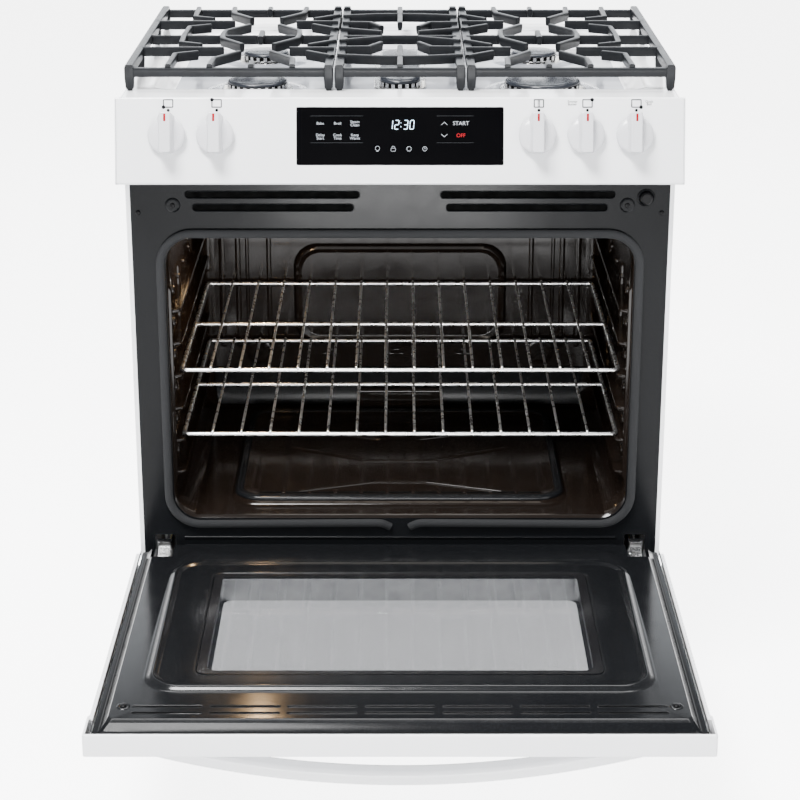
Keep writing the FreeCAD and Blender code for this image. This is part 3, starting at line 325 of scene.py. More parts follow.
colour_from(FRIT, noise(FRIT, 300), (0.005, 0.005, 0.0055), (0.009, 0.009, 0.01))
# Painted shade: a flat black put into slots, ports and vents where only shade shows through.
OPENING_SHADE = shader("opening_painted_shade", (0.002, 0.002, 0.002), 0.8, Specular_IOR_Level=0)
colour_from(OPENING_SHADE, noise(OPENING_SHADE, 100), (0.002, 0.002, 0.002), (0.005, 0.005, 0.005))

SLOT_MATERIAL = {
    "white_enamel": WHITE, "black_enamel": BLACK, "cavity_enamel": CAVITY, "galvanised_steel": STEEL,
    "chrome_wire": CHROME, "chrome_hinge": HINGE_CHROME, "cast_iron": IRON, "cap_enamel": CAP,
    "burner_aluminium": ALUMINIUM, "valve_brass": BRASS, "pipe_steel": TUBE, "regulator_cast": DIE_CAST,
    "door_glass": WINDOW, "lamp_glass": LAMP, "display_black": DISPLAY, "board_plastic": BOARD,
    "knob_white": SHADED_KNOB, "gasket_fibre": GASKET, "blanket_fibre": BLANKET, "foot_plastic": FOOT,
    "switch_plastic": SWITCH}
for entry in frame["record"]["subparts"]:
    data = NODES[entry["node"]].data
    data.materials.clear()
    data.materials.append(SLOT_MATERIAL[entry["material_slot"]])


# ---------------------------------------------------------------- mesh helpers

def in_mm(*points):
    """Points written in millimetres."""
    return [(first * MM, second * MM) for first, second in points]


def level(points, z):
    """Plan points, all at one height."""
    return [Vector((x, y, z)) for x, y in points]


def upright(points, y):
    """(x, z) points, all at one depth."""
    return [Vector((x, y, z)) for x, z in points]


def sideways(points, x):
    """(y, z) points, all at one place across."""
    return [Vector((x, y, z)) for y, z in points]


def piece(name, mesh, material, body, replaces=(), angle=35):
    """Turns a bmesh into a piece that rides on a body."""
    bmesh.ops.recalc_face_normals(mesh, faces=mesh.faces)
    # a bevel can number its faces differently from run to run, so they are put in order of their corners
    mesh.verts.index_update()
    by_corners = sorted(mesh.faces, key=lambda face: sorted(vert.index for vert in face.verts))
    for rank, face in enumerate(by_corners):
        face.index = rank
    mesh.faces.sort()
    data = bpy.data.meshes.new(name)
    mesh.to_mesh(data)
    mesh.free()
    data.materials.append(material)
    data.shade_smooth()
    data.set_sharp_from_angle(angle=math.radians(angle))
    made = bpy.data.objects.new(name, data)
    bpy.context.scene.collection.objects.link(made)
    even = made.modifiers.new("even_normals", "WEIGHTED_NORMAL")
    even.keep_sharp = True
    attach(made, body)
    if replaces:
        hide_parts(*replaces)
    return made


def block(mesh, low, high, bevel=0.8 * MM, segments=3, turn=None):
    """A box with rounded edges between two corners."""
    low, high = Vector(low), Vector(high)
    made = bmesh.ops.create_cube(mesh, size=1)["verts"]
    for vert in made:
        vert.co = Vector((low[i] + (vert.co[i] + 0.5) * (high[i] - low[i]) for i in range(3)))
    edges = list(dict.fromkeys(edge for vert in made for edge in vert.link_edges))
    faces = dict.fromkeys(face for vert in made for face in vert.link_faces)
    if bevel:
        result = bmesh.ops.bevel(mesh, geom=edges, offset=bevel, segments=segments, affect="EDGES",
                                 profile=0.5)
        faces = dict.fromkeys([*result["faces"], *(face for face in faces if face.is_valid)])
    verts = dict.fromkeys(vert for face in faces for vert in face.verts)
    if turn is not None:
        for vert in verts:
            vert.co = turn @ vert.co
    return verts


def loft(mesh, loops, closed=True, start_cap=True, end_cap=True):
    """Skins a row of loops that all have the same number of points."""
    rows = [[mesh.verts.new(point) for point in loop] for loop in loops]
    count = len(rows[0])
    for one, other in zip(rows, rows[1:]):
        for index in range(count if closed else count - 1):
            following = (index + 1) % count
            mesh.faces.new((one[index], one[following], other[following], other[index]))
    if start_cap:
        mesh.faces.new(rows[0][::-1])
    if end_cap:
        mesh.faces.new(rows[-1])
    return rows


def rounded(left, low, right, high, radius, steps=6):
    """Points of a rectangle with round corners, anticlockwise from its lower right corner."""
    points = []
    for turn, (x, y) in enumerate(((right - radius, low + radius), (right - radius, high - radius),
                                   (left + radius, high - radius), (left + radius, low + radius))):
        for step in range(steps + 1):
            angle = math.radians(-90 + 90 * turn + 90 * step / steps)
            points.append((x + radius * math.cos(angle), y + radius * math.sin(angle)))
    return points


def lathe(mesh, outline, place=Matrix.Identity(4), steps=48):
    """Revolves (radius, height) points about local Z; a radius of 0 closes an end."""
    rows = []
    for radius, height in outline:
        if radius == 0:
            rows.append([mesh.verts.new(place @ Vector((0, 0, height)))])
            continue
        rows.append([mesh.verts.new(place @ Vector((radius * math.cos(math.tau * step / steps),
                                                    radius * math.sin(math.tau * step / steps), height)))
                     for step in range(steps)])
    for one, other in zip(rows, rows[1:]):
        for step in range(steps):
            following = (step + 1) % steps
            corners = [one[step % len(one)], one[following % len(one)],
                       other[following % len(other)], other[step % len(other)]]
            corners = list(dict.fromkeys(corners))
            if len(corners) > 2:
                mesh.faces.new(corners)


def ring_section(width, height, radius, steps=3):
    """A rounded rectangular section for sweep."""
    return rounded(-width / 2, -height / 2, width / 2, height / 2, radius, steps)


def circle_section(radius, steps=12):
    """A round section for sweep."""
    return [(radius * math.cos(math.tau * step / steps), radius * math.sin(math.tau * step / steps))
            for step in range(steps)]


def sweep(mesh, path, section, up=Vector((0, 0, 1)), closed=False, scales=None):
    """Sweeps a section along a path, mitred at its corners; the section's second axis follows up."""
    path = [Vector(point) for point in path]
    loops = []
    count = len(path)
    for index, point in enumerate(path):
        before = path[index - 1] if closed or index else None
        after = path[(index + 1) % count] if closed or index < count - 1 else None
        into = (point - before).normalized() if before is not None else None
        out = (after - point).normalized() if after is not None else into
        into = into if into is not None else out
        along = (into + out).normalized()
        stretch = 1 / max(0.3, along.dot(into))
        side = into.cross(up).normalized() + out.cross(up).normalized()
        side = side.normalized() * stretch
        rise = side.normalized().cross(along).normalized()
        size = scales[index] if scales else 1.0
        loops.append([point + side * (u * size) + rise * (v * size) for u, v in section])
    if closed:
        loops.append(loops[0])
        rows = loft(mesh, loops[:-1], start_cap=False, end_cap=False)
        for index in range(len(section)):
            following = (index + 1) % len(section)
            mesh.faces.new((rows[-1][index], rows[-1][following], rows[0][following], rows[0][index]))
        return
    loft(mesh, loops)


def bend(points, radius, steps=5, closed=False):
    """Rounds the corners of a polyline with arcs."""
    points = [Vector(point) for point in points]
    out = []
    count = len(points)
    for index, point in enumerate(points):
        if not closed and index in (0, count - 1):
            out.append(point)
            continue
        before = (points[index - 1] - point)
        after = (points[(index + 1) % count] - point)
        reach = min(radius, before.length * 0.49, after.length * 0.49)
        start = point + before.normalized() * reach
        stop = point + after.normalized() * reach
        for step in range(steps + 1):
            part = step / steps
            out.append(start * (1 - part) ** 2 + point * (2 * part * (1 - part)) + stop * part ** 2)
    return out


def prism(mesh, outline, low_x, high_x):
    """Extrudes (y, z) points along X."""
    loft(mesh, [sideways(outline, x) for x in (low_x, high_x)])


def sheet_outline(path, thick):
    """A closed outline of even thickness to the left of an open (y, z) path."""
    path = [Vector((y, z)) for y, z in path]
    other = []
    for index, point in enumerate(path):
        into = (point - path[index - 1]).normalized() if index else None
        out = (path[index + 1] - point).normalized() if index < len(path) - 1 else into
        into = into if into is not None else out
        left = Vector((-into.y - out.y, into.x + out.x)).normalized()
        other.append(point + left * (thick / max(0.3, left.dot(Vector((-into.y, into.x))))))
    return [tuple(point) for point in path] + [tuple(point) for point in reversed(other)]


def on_face(x, lift, up=0.0):
    """A place on the control panel's slanted face: up runs up the face, lift stands off it."""
    origin = KNOB_AXES["knob_1"][0]
    return Vector((x, origin.y, origin.z)) + FACE_UP * up + FACE_NORMAL * lift


def face_matrix(x, up=0.0, lift=0.0):
    """Local X along the range, local Y up the panel's face and local Z out of it."""
    made = Matrix((Vector((1, 0, 0)), FACE_UP, FACE_NORMAL)).transposed().to_4x4()
    made.translation = on_face(x, lift, up)
    return made


def ribbon(mesh, points, width, place, closed=False, lift=0.06 * MM):
    """A flat printed line along (x, y) points."""
    section = [(-width / 2, -lift / 2), (width / 2, -lift / 2), (width / 2, lift / 2),
               (-width / 2, lift / 2)]
    part = bmesh.new()
    sweep(part, level(points, 0), section, closed=closed)
    part.transform(place)
    carry = bpy.data.meshes.new("carry")
    part.to_mesh(carry)
    part.free()
    mesh.from_mesh(carry)
    bpy.data.meshes.remove(carry)


def screw(mesh, place, radius=3.4 * MM):
    """A pan-head screw with a cross recess, its head along local Z."""
    height = radius * 0.55
    lathe(mesh, [(radius * 0.18, height * 0.55), (radius * 0.3, height), (radius * 0.7, height * 0.92),
                 (radius * 0.95, height * 0.5), (radius, 0), (radius, -0.4 * MM), (0, -0.4 * MM)], place,
          20)
    lathe(mesh, [(0, height * 0.5), (radius * 0.18, height * 0.55)], place, 20)
    for angle in (0, math.pi / 2):
        turn = place @ Matrix.Rotation(angle, 4, "Z")
        block(mesh, (-radius * 0.62, -radius * 0.1, height * 0.8),
              (radius * 0.62, radius * 0.1, height * 0.99), 0.1 * MM, 1, turn)


def end_plate(mesh, side, outline, layers):
    """Closes one end of a folded panel: (depth, inset) layers in mm of a (y, z) outline."""
    centre = Vector((sum(y for y, z in outline) / len(outline), sum(z for y, z in outline) / len(outline)))
    loops = []
    for depth, inset in in_mm(*layers):
        loop = []
        for y, z in outline:
            away = Vector((y, z)) - centre
            spot = centre + away * (1 - inset / away.length)
            loop.append(Vector((side * (HALF_WIDE - depth), spot.x, spot.y)))
        loops.append(loop)
    loft(mesh, loops)


def lettering(name, words, size, extrude, material, place, line_gap=1.0):
    """Generic letters or digits, centred on a place."""
    curve = bpy.data.curves.new(name, "FONT")
    curve.body = words
    curve.size = size
    curve.extrude = extrude
    curve.align_x = curve.align_y = "CENTER"
    curve.space_line = line_gap
    curve.materials.append(material)
    text = bpy.data.objects.new(name, curve)
    text.matrix_world = place
    bpy.context.scene.collection.objects.link(text)
    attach(text, "root")


# ---------------------------------------------------------------- floor, light and camera

floor_mesh = bmesh.new()
bmesh.ops.create_grid(floor_mesh, x_segments=8, y_segments=8, size=30)
floor_data = bpy.data.meshes.new("floor")
floor_mesh.to_mesh(floor_data)
floor_mesh.free()
floor = bpy.data.objects.new("floor", floor_data)
bpy.context.scene.collection.objects.link(floor)
FLOOR = shader("studio_floor", (0.9, 0.9, 0.9), 0.7, Emission_Color=(1, 1, 1, 1), Emission_Strength=5.2)
colour_from(FLOOR, noise(FLOOR, 0.6), (0.89, 0.89, 0.895), (0.91, 0.91, 0.912))
floor.data.materials.append(FLOOR)
floor.visible_diffuse = False

world = bpy.data.worlds.new("studio")
world.use_nodes = True
world.node_tree.nodes["Background"].inputs["Color"].default_value = (0.97, 0.98, 1.0, 1)
sky = world.node_tree
direction = sky.nodes.new("ShaderNodeTexCoord")
split = sky.nodes.new("ShaderNodeSeparateXYZ")
fade = sky.nodes.new("ShaderNodeMapRange")
fade.interpolation_type = "SMOOTHSTEP"
for socket, value in (("From Min", 0.08), ("From Max", 0.36), ("To Min", 2.3), ("To Max", 0.5)):
    fade.inputs[socket].default_value = value
sky.links.new(direction.outputs["Generated"], split.inputs["Vector"])
sky.links.new(split.outputs["Z"], fade.inputs["Value"])
sky.links.new(fade.outputs["Result"], sky.nodes["Background"].inputs["Strength"])
bpy.context.scene.world = world


def area_light(name, place, aim, size, power, tint=(1, 1, 1)):
    """A soft box the camera doesn't see, aimed at a point."""
    data = bpy.data.lights.new(name, "AREA")
    data.shape = "RECTANGLE"
    data.size, data.size_y = size
    data.energy = power
    data.color = tint
    light = bpy.data.objects.new(name, data)
    light.visible_camera = False
    light.location = place
    light.rotation_euler = (Vector(aim) - Vector(place)).to_track_quat("-Z", "Y").to_euler()
    bpy.context.scene.collection.objects.link(light)


area_light("key", (-1.0, -1.7, 3.9), (0, -0.1, 0.6), (1.5, 1.1), 470)
area_light("fill", (2.4, -2.6, 2.2), (0, -0.2, 0.5), (1.8, 1.8), 45)
area_light("top", (0, 0.7, 3.2), (0, 0.1, 0.9), (2.4, 1.6), 120)
area_light("rear_card", (0, 3.6, 1.7), (0, -0.3, 0.4), (3.0, 1.0), 26, (0.9, 0.95, 1.0))
area_light("front_card", (0, FRONT - 3.0, 0.3), (0, FRONT, 0.72), (1.2, 0.45), 14)
area_light("sheen_card", (0, FRONT - 1.6, 0.38), (0, FRONT, 0.8), (0.5, 0.16), 11)
area_light("mouth", (0, FRONT + 0.06, 0.695), (0, FRONT + 0.34, 0.36), (0.5, 0.05), 0.6, (1.0, 0.9, 0.78))
lamp_data = bpy.data.lights.new("oven_lamp_light", "POINT")
lamp_data.energy = 1.6
lamp_data.color = (1.0, 0.64, 0.32)
lamp_data.shadow_soft_size = 0.012
lamp_light = bpy.data.objects.new("oven_lamp_light", lamp_data)
lamp_light.location = (-0.22, FRONT + 0.16, 0.655)
bpy.context.scene.collection.objects.link(lamp_light)

camera_data = bpy.data.cameras.new("camera")
camera_data.lens = 96.35
camera_data.sensor_width = 36
camera = bpy.data.objects.new("camera", camera_data)
CAMERA_PITCH = 19.5
camera.location = (0, -2.8691, 1.4746)
camera.rotation_euler = (math.radians(90 - CAMERA_PITCH), 0, 0)
bpy.context.scene.collection.objects.link(camera)
bpy.context.scene.camera = camera


# ---------------------------------------------------------------- front frame

RACK_PITCH = 48.5 * MM
BOSS_X, BOSS_Z = 310.5 * MM, 749.5 * MM


def front_frame_details():
    """Screw heads, boss dimples and the ring round the door light switch on the black front frame."""
    screws = bmesh.new()
    toward = Matrix.Rotation(math.radians(90), 4, "X")
    for side in (-1, 1):
        for x, z, size, out in ((358, 739, 3.4, 1.7), (310.5, 749.5, 3.6, 2.6)):
            place = Matrix.Translation((side * x * MM, FRONT - out * MM, z * MM)) @ toward
            screw(screws, place, size * MM)
    piece("frame_screws", screws, SWITCH, "root")
    rings = bmesh.new()
    for side in (-1, 1):
        place = Matrix.Translation((side * BOSS_X, FRONT, BOSS_Z)) @ toward
        lathe(rings, in_mm((10.5, 0), (9.8, 1.4), (8.2, 2.2), (7.8, 2.4)), place, 36)
    switch_low, switch_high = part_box("door_light_switch")
    middle = (switch_low + switch_high) / 2
    place = Matrix.Translation((middle.x, FRONT, middle.z)) @ toward
    lathe(rings, in_mm((12.6, 0), (12.2, 1.2), (10.8, 1.7), (9.3, 1.2), (9.1, 0)), place, 40)
    piece("frame_rings", rings, BLACK, "root")


def slot_lips():
    """The turned-in lips round the vent slots, with a dark box behind them."""
    lips = bmesh.new()
    section = circle_section(0.9 * MM, 8)
    for low, high, near, far in ((759, 769, 55, 294), (741, 751, 63, 284)):
        for side in (-1, 1):
            left, right = sorted((side * near, side * far))
            loop = rounded(left * MM, low * MM, right * MM, high * MM, 4.9 * MM, 6)
            sweep(lips, upright(loop, FRONT + 0.1 * MM), section, Vector((0, -1, 0)), True)
    piece("vent_lips", lips, BLACK, "root")
    # A dark box behind the vent slots paints the shade seen through them.
    shade_box = bmesh.new()
    profile = [(FRONT + 2 * MM, 736 * MM), (FRONT + 16 * MM, 734 * MM), (FRONT + 18 * MM, 776 * MM),
               (FRONT + 2 * MM, 774 * MM)]
    loft(shade_box, [sideways(profile, x * MM) for x in (-300, 300)])
    piece("vent_shade_box", shade_box, OPENING_SHADE, "root")


def rack_numbers():
    """Embossed rack position numbers up the left edge of the frame."""
    for number in range(1, 7):
        place = Matrix.Translation((-353 * MM, FRONT - 0.2 * MM, 351.5 * MM + RACK_PITCH * (number - 1)))
        place = place @ Matrix.Rotation(math.radians(90), 4, "X")
        lettering(f"rack_number_{number}", str(number), 13 * MM, 0.25 * MM, BLACK, place)


def gasket():
    """A braided tube that runs round the mouth and tucks into two holes at the bottom middle."""
    low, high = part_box("door_gasket")
    mesh = bmesh.new()
    thick = (high.y - low.y) / 2
    width = 6 * MM
    inset = width
    corner = 45 * MM
    left, right = low.x + inset, high.x - inset
    bottom, top = low.z + inset, high.z - inset
    loop = rounded(left, bottom, right, top, corner, 10)
    gap = 14 * MM
    # the loop starts at the lower right corner, so both of its ends are led to the bottom middle
    ring = upright(loop, 0)
    ring = [Vector((gap + 12 * MM, 0, bottom + 1.5 * MM))] + ring + [Vector((-gap - 12 * MM, 0,
                                                                             bottom + 1.5 * MM))]
    ring = [Vector((gap, 4 * MM, bottom - 6 * MM))] + ring + [Vector((-gap, 4 * MM, bottom - 6 * MM))]
    path = [point + Vector((0, FRONT - thick, 0)) for point in ring]
    path[0].y = path[-1].y = FRONT - 1 * MM
    path = bend(path, 9 * MM, 4)
    section = [(width * math.cos(math.tau * step / 14), thick * math.sin(math.tau * step / 14))
               for step in range(14)]
    sweep(mesh, path, section, Vector((0, -1, 0)))
    piece("gasket_braid", mesh, GASKET, "root", ["door_gasket"])


# ---------------------------------------------------------------- oven cavity

def cavity_shell():
    """The enamelled cavity: rounded corners all round and a lip that meets the front frame."""
    mesh = bmesh.new()
    left, right = CAVITY_LOW.x + WALL, CAVITY_HIGH.x - WALL
    bottom, top = CAVITY_LOW.z + WALL, CAVITY_HIGH.z - WALL
    rear = CAVITY_HIGH.y - WALL
    round_back, corner = 24 * MM, 37.5 * MM
    loops = []
    for y in (FRONT + 0.5 * MM, FRONT + 60 * MM, FRONT + 200 * MM, rear - 120 * MM):
        loops.append(upright(rounded(left, bottom, right, top, corner, 8), y))
    for step in range(7):
        angle = math.radians(90 * step / 6)
        inset = round_back * (1 - math.cos(angle))
        y = rear - round_back + round_back * math.sin(angle)
        radius = max(corner - inset, 12 * MM)
        loops.append(upright(rounded(left + inset, bottom + inset, right - inset, top - inset, radius, 8),
                             y))
    loft(mesh, loops, start_cap=False)
    made = piece("cavity_shell", mesh, CAVITY, "root", ["oven_liner"], 50)
    for polygon in made.data.polygons:
        polygon.flip()
    thick = made.modifiers.new("wall", "SOLIDIFY")
    thick.thickness = 1.2 * MM
    thick.offset = -1


def raised(mesh, loop_at, heights, lift):
    """Stacks rounded loops into a raised panel; loop_at(inset) gives a loop, lift places a height."""
    loops = [[lift(x, y, height) for x, y in loop_at(inset)] for inset, height in heights]
    loft(mesh, loops, start_cap=False)


def back_wall():
    """Embossed back wall: a large rounded panel, ribs at both sides and a bright lower band."""
    mesh = bmesh.new()
    wall_y = CAVITY_HIGH.y - WALL

    def lift(x, z, height):
        return Vector((x, wall_y - height, z))

    raised(mesh, lambda inset: rounded(-172 * MM + inset, 392 * MM + inset, 172 * MM - inset,
                                       561 * MM - inset, 38 * MM - inset * 0.6, 8),
           ((0, 0), (1.5 * MM, 3 * MM), (4 * MM, 6 * MM), (8 * MM, 7 * MM), (13 * MM, 4 * MM),
            (15 * MM, 3.4 * MM)), lift)
    for side in (-1, 1):
        for x, width in ((212, 8), (247, 6), (262, 9), (288, 10)):
            middle = side * x * MM
            half = width / 2 * MM
            raised(mesh, lambda inset: rounded(middle - half + inset, 385 * MM + inset,
                                               middle + half - inset, 680 * MM - inset,
                                               half - inset - 0.1 * MM, 5),
                   ((0, 0), (half * 0.4, 1.2 * MM), (half * 0.75, 1.8 * MM)), lift)
        centre = side * 229 * MM
        raised(mesh, lambda inset: rounded(centre - 22 * MM + inset, 356 * MM + inset,
                                           centre + 22 * MM - inset, 400 * MM - inset, 21.5 * MM - inset,
                                           8), ((0, 0), (2 * MM, 3 * MM), (5 * MM, 3.4 * MM),
                                                (7 * MM, 1 * MM)), lift)
        for step in range(3):
            offset = (step - 1) * 9 * MM
            sweep(mesh, [lift(centre - 9 * MM + offset * 0.3, 372 * MM + offset, 2.5 * MM),
                         lift(centre + 9 * MM + offset * 0.3, 386 * MM + offset, 2.5 * MM)],
                  circle_section(1.7 * MM, 8), Vector((0, -1, 0)))
    piece("cavity_back_emboss", mesh, CAVITY, "root")
    band = bmesh.new()
    left, right = -305 * MM, 301 * MM
    profile = ((352, 0), (349, 4), (343, 7), (330, 12), (312, 17), (300, 19), (293.5, 19.5))
    loops = []
    for z, out in profile:
        taper = (352 - z) * 0.12 * MM
        corner = 14 * MM if z > 345 else 0
        loops.append([Vector((left + taper + corner, wall_y, z * MM))]
                     + [Vector((left + taper + (right - left - 2 * taper) * step / 24, wall_y - out * MM,
                                z * MM)) for step in range(25)]
                     + [Vector((right - taper - corner, wall_y, z * MM))])
    loft(band, loops, closed=False, start_cap=False, end_cap=False)
    piece("cavity_back_band", band, BLACK, "root")
    grille = bmesh.new()
    block(grille, (-70 * MM, wall_y - 40 * MM, 291 * MM), (70 * MM, wall_y - 2 * MM, 327 * MM), 6 * MM, 4)
    block(grille, (-52 * MM, wall_y - 43 * MM, 306 * MM), (52 * MM, wall_y - 39 * MM, 320 * MM), 1.5 * MM,
          3)
    for x in (-114, -6, 104):
        block(grille, ((x - 12) * MM, wall_y - 6 * MM, 374 * MM), ((x + 12) * MM, wall_y, 377 * MM), 1 * MM,
              2)
        block(grille, ((x - 5) * MM, wall_y - 8 * MM, 376 * MM), ((x + 5) * MM, wall_y, 385 * MM), 1.4 * MM,
              2)
    piece("flue_box", grille, CAVITY, "root")


def side_ladders():
    """Rack guides pressed out of both side walls, with a stop near the front of each."""
    mesh = bmesh.new()
    near, far = FRONT + 30 * MM, CAVITY_HIGH.y - 6 * MM
    wall_x = CAVITY_HIGH.x - WALL
    tip = 307.5 * MM
    top_low = 400 * MM - 3.3 * MM
    for side in (-1, 1):
        for step in range(-1, 5):
            top = top_low + step * RACK_PITCH
            profile = [(wall_x + 0.5 * MM, -7), (tip + 5 * MM, -6.4), (tip + 1 * MM, -4.2), (tip, -2.4),
                       (tip + 1.2 * MM, -0.4), (tip + 4 * MM, 0), (wall_x + 0.5 * MM, 0)]
            loops = []
            for y, scale in ((near, 0.2), (near + 3 * MM, 0.75), (near + 8 * MM, 1), (far, 1)):
                loops.append([Vector((side * (wall_x - (wall_x - x) * scale), y, top + z * MM)) for x,
                              z in profile])
            loft(mesh, loops)
            bumps = ((near + 46 * MM, 9), (near + 120 * MM, 6), (near + 200 * MM, 6), (near + 280 * MM, 6),
                     (near + 360 * MM, 6))
            for y, size in bumps:
                dome = Matrix.Translation((side * wall_x, y,
                                           top + 16 * MM)) @ Matrix.Rotation(-side * math.pi / 2, 4, "Y")
                lathe(mesh, in_mm((size, -0.2), (size * 0.9, 2), (size * 0.55, 3.4), (0, 4)), dome, 20)
        for y in (near - 4 * MM, near + 120 * MM, near + 300 * MM):
            rib = [(wall_x + 0.4 * MM, -5), (wall_x - 3 * MM, -3), (wall_x - 4.4 * MM, 0),
                   (wall_x - 3 * MM, 3), (wall_x + 0.4 * MM, 5)]
            loops = [[Vector((side * x, y + across * MM, z * MM)) for x, across in rib]
                     for z in (335, 345, 620, 630)]
            for end in (0, 3):
                for point in loops[end]:
                    point.x = side * wall_x
            loft(mesh, loops)
    piece("rack_guides", mesh, CAVITY, "root", angle=50)


def oven_bottom():
    """The lift-out bottom: a raised pan with a perforated front edge and pressed diagonals."""
    mesh = bmesh.new()
    low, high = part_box("oven_floor")
    base = low.z + 1.5 * MM

    def lift(x, y, height):
        return Vector((x, y, base + height))

    loft(mesh, [[lift(x, y, height) for x, y in rounded(low.x + inset, low.y + inset, high.x - inset,
                                                        high.y - inset, 30 * MM, 6)] for inset,
                height in ((0, -1.8 * MM), (0, -0.6 * MM), (1 * MM, 0))], end_cap=False)

    def outer(inset):
        return rounded(-248 * MM + inset, FRONT + 48 * MM + inset, 245 * MM - inset,
                       FRONT + 440 * MM - inset, 40 * MM - inset * 0.5, 8)

    loops = [[lift(x, y, 0) for x, y in rounded(low.x + 1 * MM, low.y + 1 * MM, high.x - 1 * MM,
                                                high.y - 1 * MM, 29 * MM, 8)]]
    loops += [[lift(x, y, height) for x, y in outer(inset)]
              for inset, height in ((0, 0), (2 * MM, 2.5 * MM), (12 * MM, 8 * MM), (15 * MM, 9 * MM),
                                    (18 * MM, 8.6 * MM), (26 * MM, 7.6 * MM), (34 * MM, 7.2 * MM))]
    loft(mesh, loops, start_cap=False)
    pan = base + 7.2 * MM
    for side in (-1, 1):
        for points in (((40, 118), (150, 82)), ((40, 205), (165, 262)), ((30, 300), (120, 330))):
            sweep(mesh, [Vector((side * x * MM, FRONT + y * MM, pan)) for x, y in points],
                  ring_section(9 * MM, 5 * MM, 2.4 * MM))
    for y, half in ((118, 62), (205, 58)):
        sweep(mesh, [Vector((-half * MM, FRONT + y * MM, pan)), Vector((half * MM, FRONT + y * MM, pan))],
              ring_section(9 * MM, 5 * MM, 2.4 * MM))
    piece("oven_bottom_pan", mesh, CAVITY, "root", ["oven_floor"], 40)
    rim = bmesh.new()
    sweep(rim, [lift(x, y, 6.5 * MM) for x, y in outer(11 * MM)],
          ring_section(13 * MM, 8 * MM, 3.8 * MM, 5), closed=True)
    piece("oven_bottom_rim", rim, RIM_ENAMEL, "root")
    slots = bmesh.new()
    for index in range(-5, 6):
        x = index * 38 * MM
        block(slots, (x - 16.5 * MM, FRONT + 72 * MM, base + 7.3 * MM),
              (x + 16.5 * MM, FRONT + 79 * MM, base + 8.1 * MM), 0.3 * MM, 2)
    # The slots are dark strips of painted shade laid on the pan.
    piece("oven_bottom_slots", slots, OPENING_SHADE, "root")


def rack(name):
    """A wire rack: heavy frame, three cross rails and fourteen wires bent down over the front rail."""
    low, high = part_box(name)
    rail, wire = 3 * MM, 2 * MM
    mesh = bmesh.new()
    left, right = low.x + rail, high.x - rail
    near, far = low.y + rail, high.y - rail
    z = low.z + rail
    corners = [(x, y, z) for x, y in ((left, near), (right, near), (right, far), (left, far))]
    sweep(mesh, bend(corners, 9 * MM, 5, True), circle_section(rail, 14), closed=True)
    sweep(mesh, [(left, (near + far) / 2, z), (right, (near + far) / 2, z)], circle_section(rail, 14))
    top = z + rail + wire - 0.8 * MM
    gaps = 15
    for index in range(1, gaps):
        x = left + (right - left) * index / gaps
        path = [(x, near - 1.2 * MM, z + 1.2 * MM), (x, near + 0.5 * MM, top), (x, near + 8 * MM, top),
                (x, far - 8 * MM, top), (x, far, top), (x, far + 1.5 * MM, z + 1.5 * MM)]
        sweep(mesh, bend(path, 3 * MM, 3), circle_section(wire, 10))
    piece(name + "_wires", mesh, CHROME, name, [name], 50)


def oven_lamp():
    """A ribbed glass lens in a bright ring, warm from the bulb behind it."""
    low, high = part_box("oven_lamp_lens")
    middle = (low + high) / 2
    place = Matrix.Translation((low.x, middle.y, middle.z)) @ Matrix.Rotation(math.pi / 2, 4, "Y")
    lens = bmesh.new()
    outline = [(23.6, 0), (23.6, 3)]
    for step in range(9):
        radius = 22.5 * (1 - step / 9)
        outline.append((radius + 0.8, 5 + 16 * math.sin(math.radians(10 * step))))
        outline.append((radius - 0.6, 5.6 + 16 * math.sin(math.radians(10 * step + 4))))
    outline.append((0, 22))
    lathe(lens, in_mm(*outline), place, 40)
    piece("lamp_lens", lens, LAMP, "root", ["oven_lamp_lens"], 60)
    glow = bmesh.new()
    lathe(glow, in_mm((0, 13), (5, 12), (8, 7), (7, 2), (0, 1)), place, 24)
    piece("lamp_bulb", glow, GLOW, "root", angle=80)
    ring = bmesh.new()
    lathe(ring, in_mm((24, 1), (28, 1.5), (29, 3.4), (27.5, 4.6), (24.6, 4.4), (24, 1)), place, 40)
    piece("lamp_ring", ring, CHROME, "root")


front_frame_details()
slot_lips()
rack_numbers()
gasket()
cavity_shell()
back_wall()
side_ladders()
oven_bottom()
rack("rack_upper")
rack("rack_lower")
oven_lamp()

# ---------------------------------------------------------------- cooktop, burners and grates

BASIN = RIM - 25 * MM
WELL_SIDE = HALF_BODY - 40 * MM
WELL_NEAR, WELL_FAR = FRONT + 46 * MM, FRONT + 496 * MM
BURNER_X = 201.5 * MM
FRONT_BURNER_Y, REAR_BURNER_Y = FRONT + 158 * MM, FRONT + 379 * MM
BURNERS = {"front_left": (-1, FRONT_BURNER_Y, 42), "rear_left": (-1, REAR_BURNER_Y, 34),
           "front_right": (1, FRONT_BURNER_Y, 53), "rear_right": (1, REAR_BURNER_Y, 34)}
OVAL_Y = FRONT + 268.5 * MM
OVAL_HALF = 98 * MM
GRATE_NEAR, GRATE_FAR = FRONT + 28 * MM, FRONT + 510 * MM
GRATE_RAIL, FINGER, FINGER_DEEP = 11 * MM, 8 * MM, 13 * MM
FOOT_LOW = RIM + 0.3 * MM


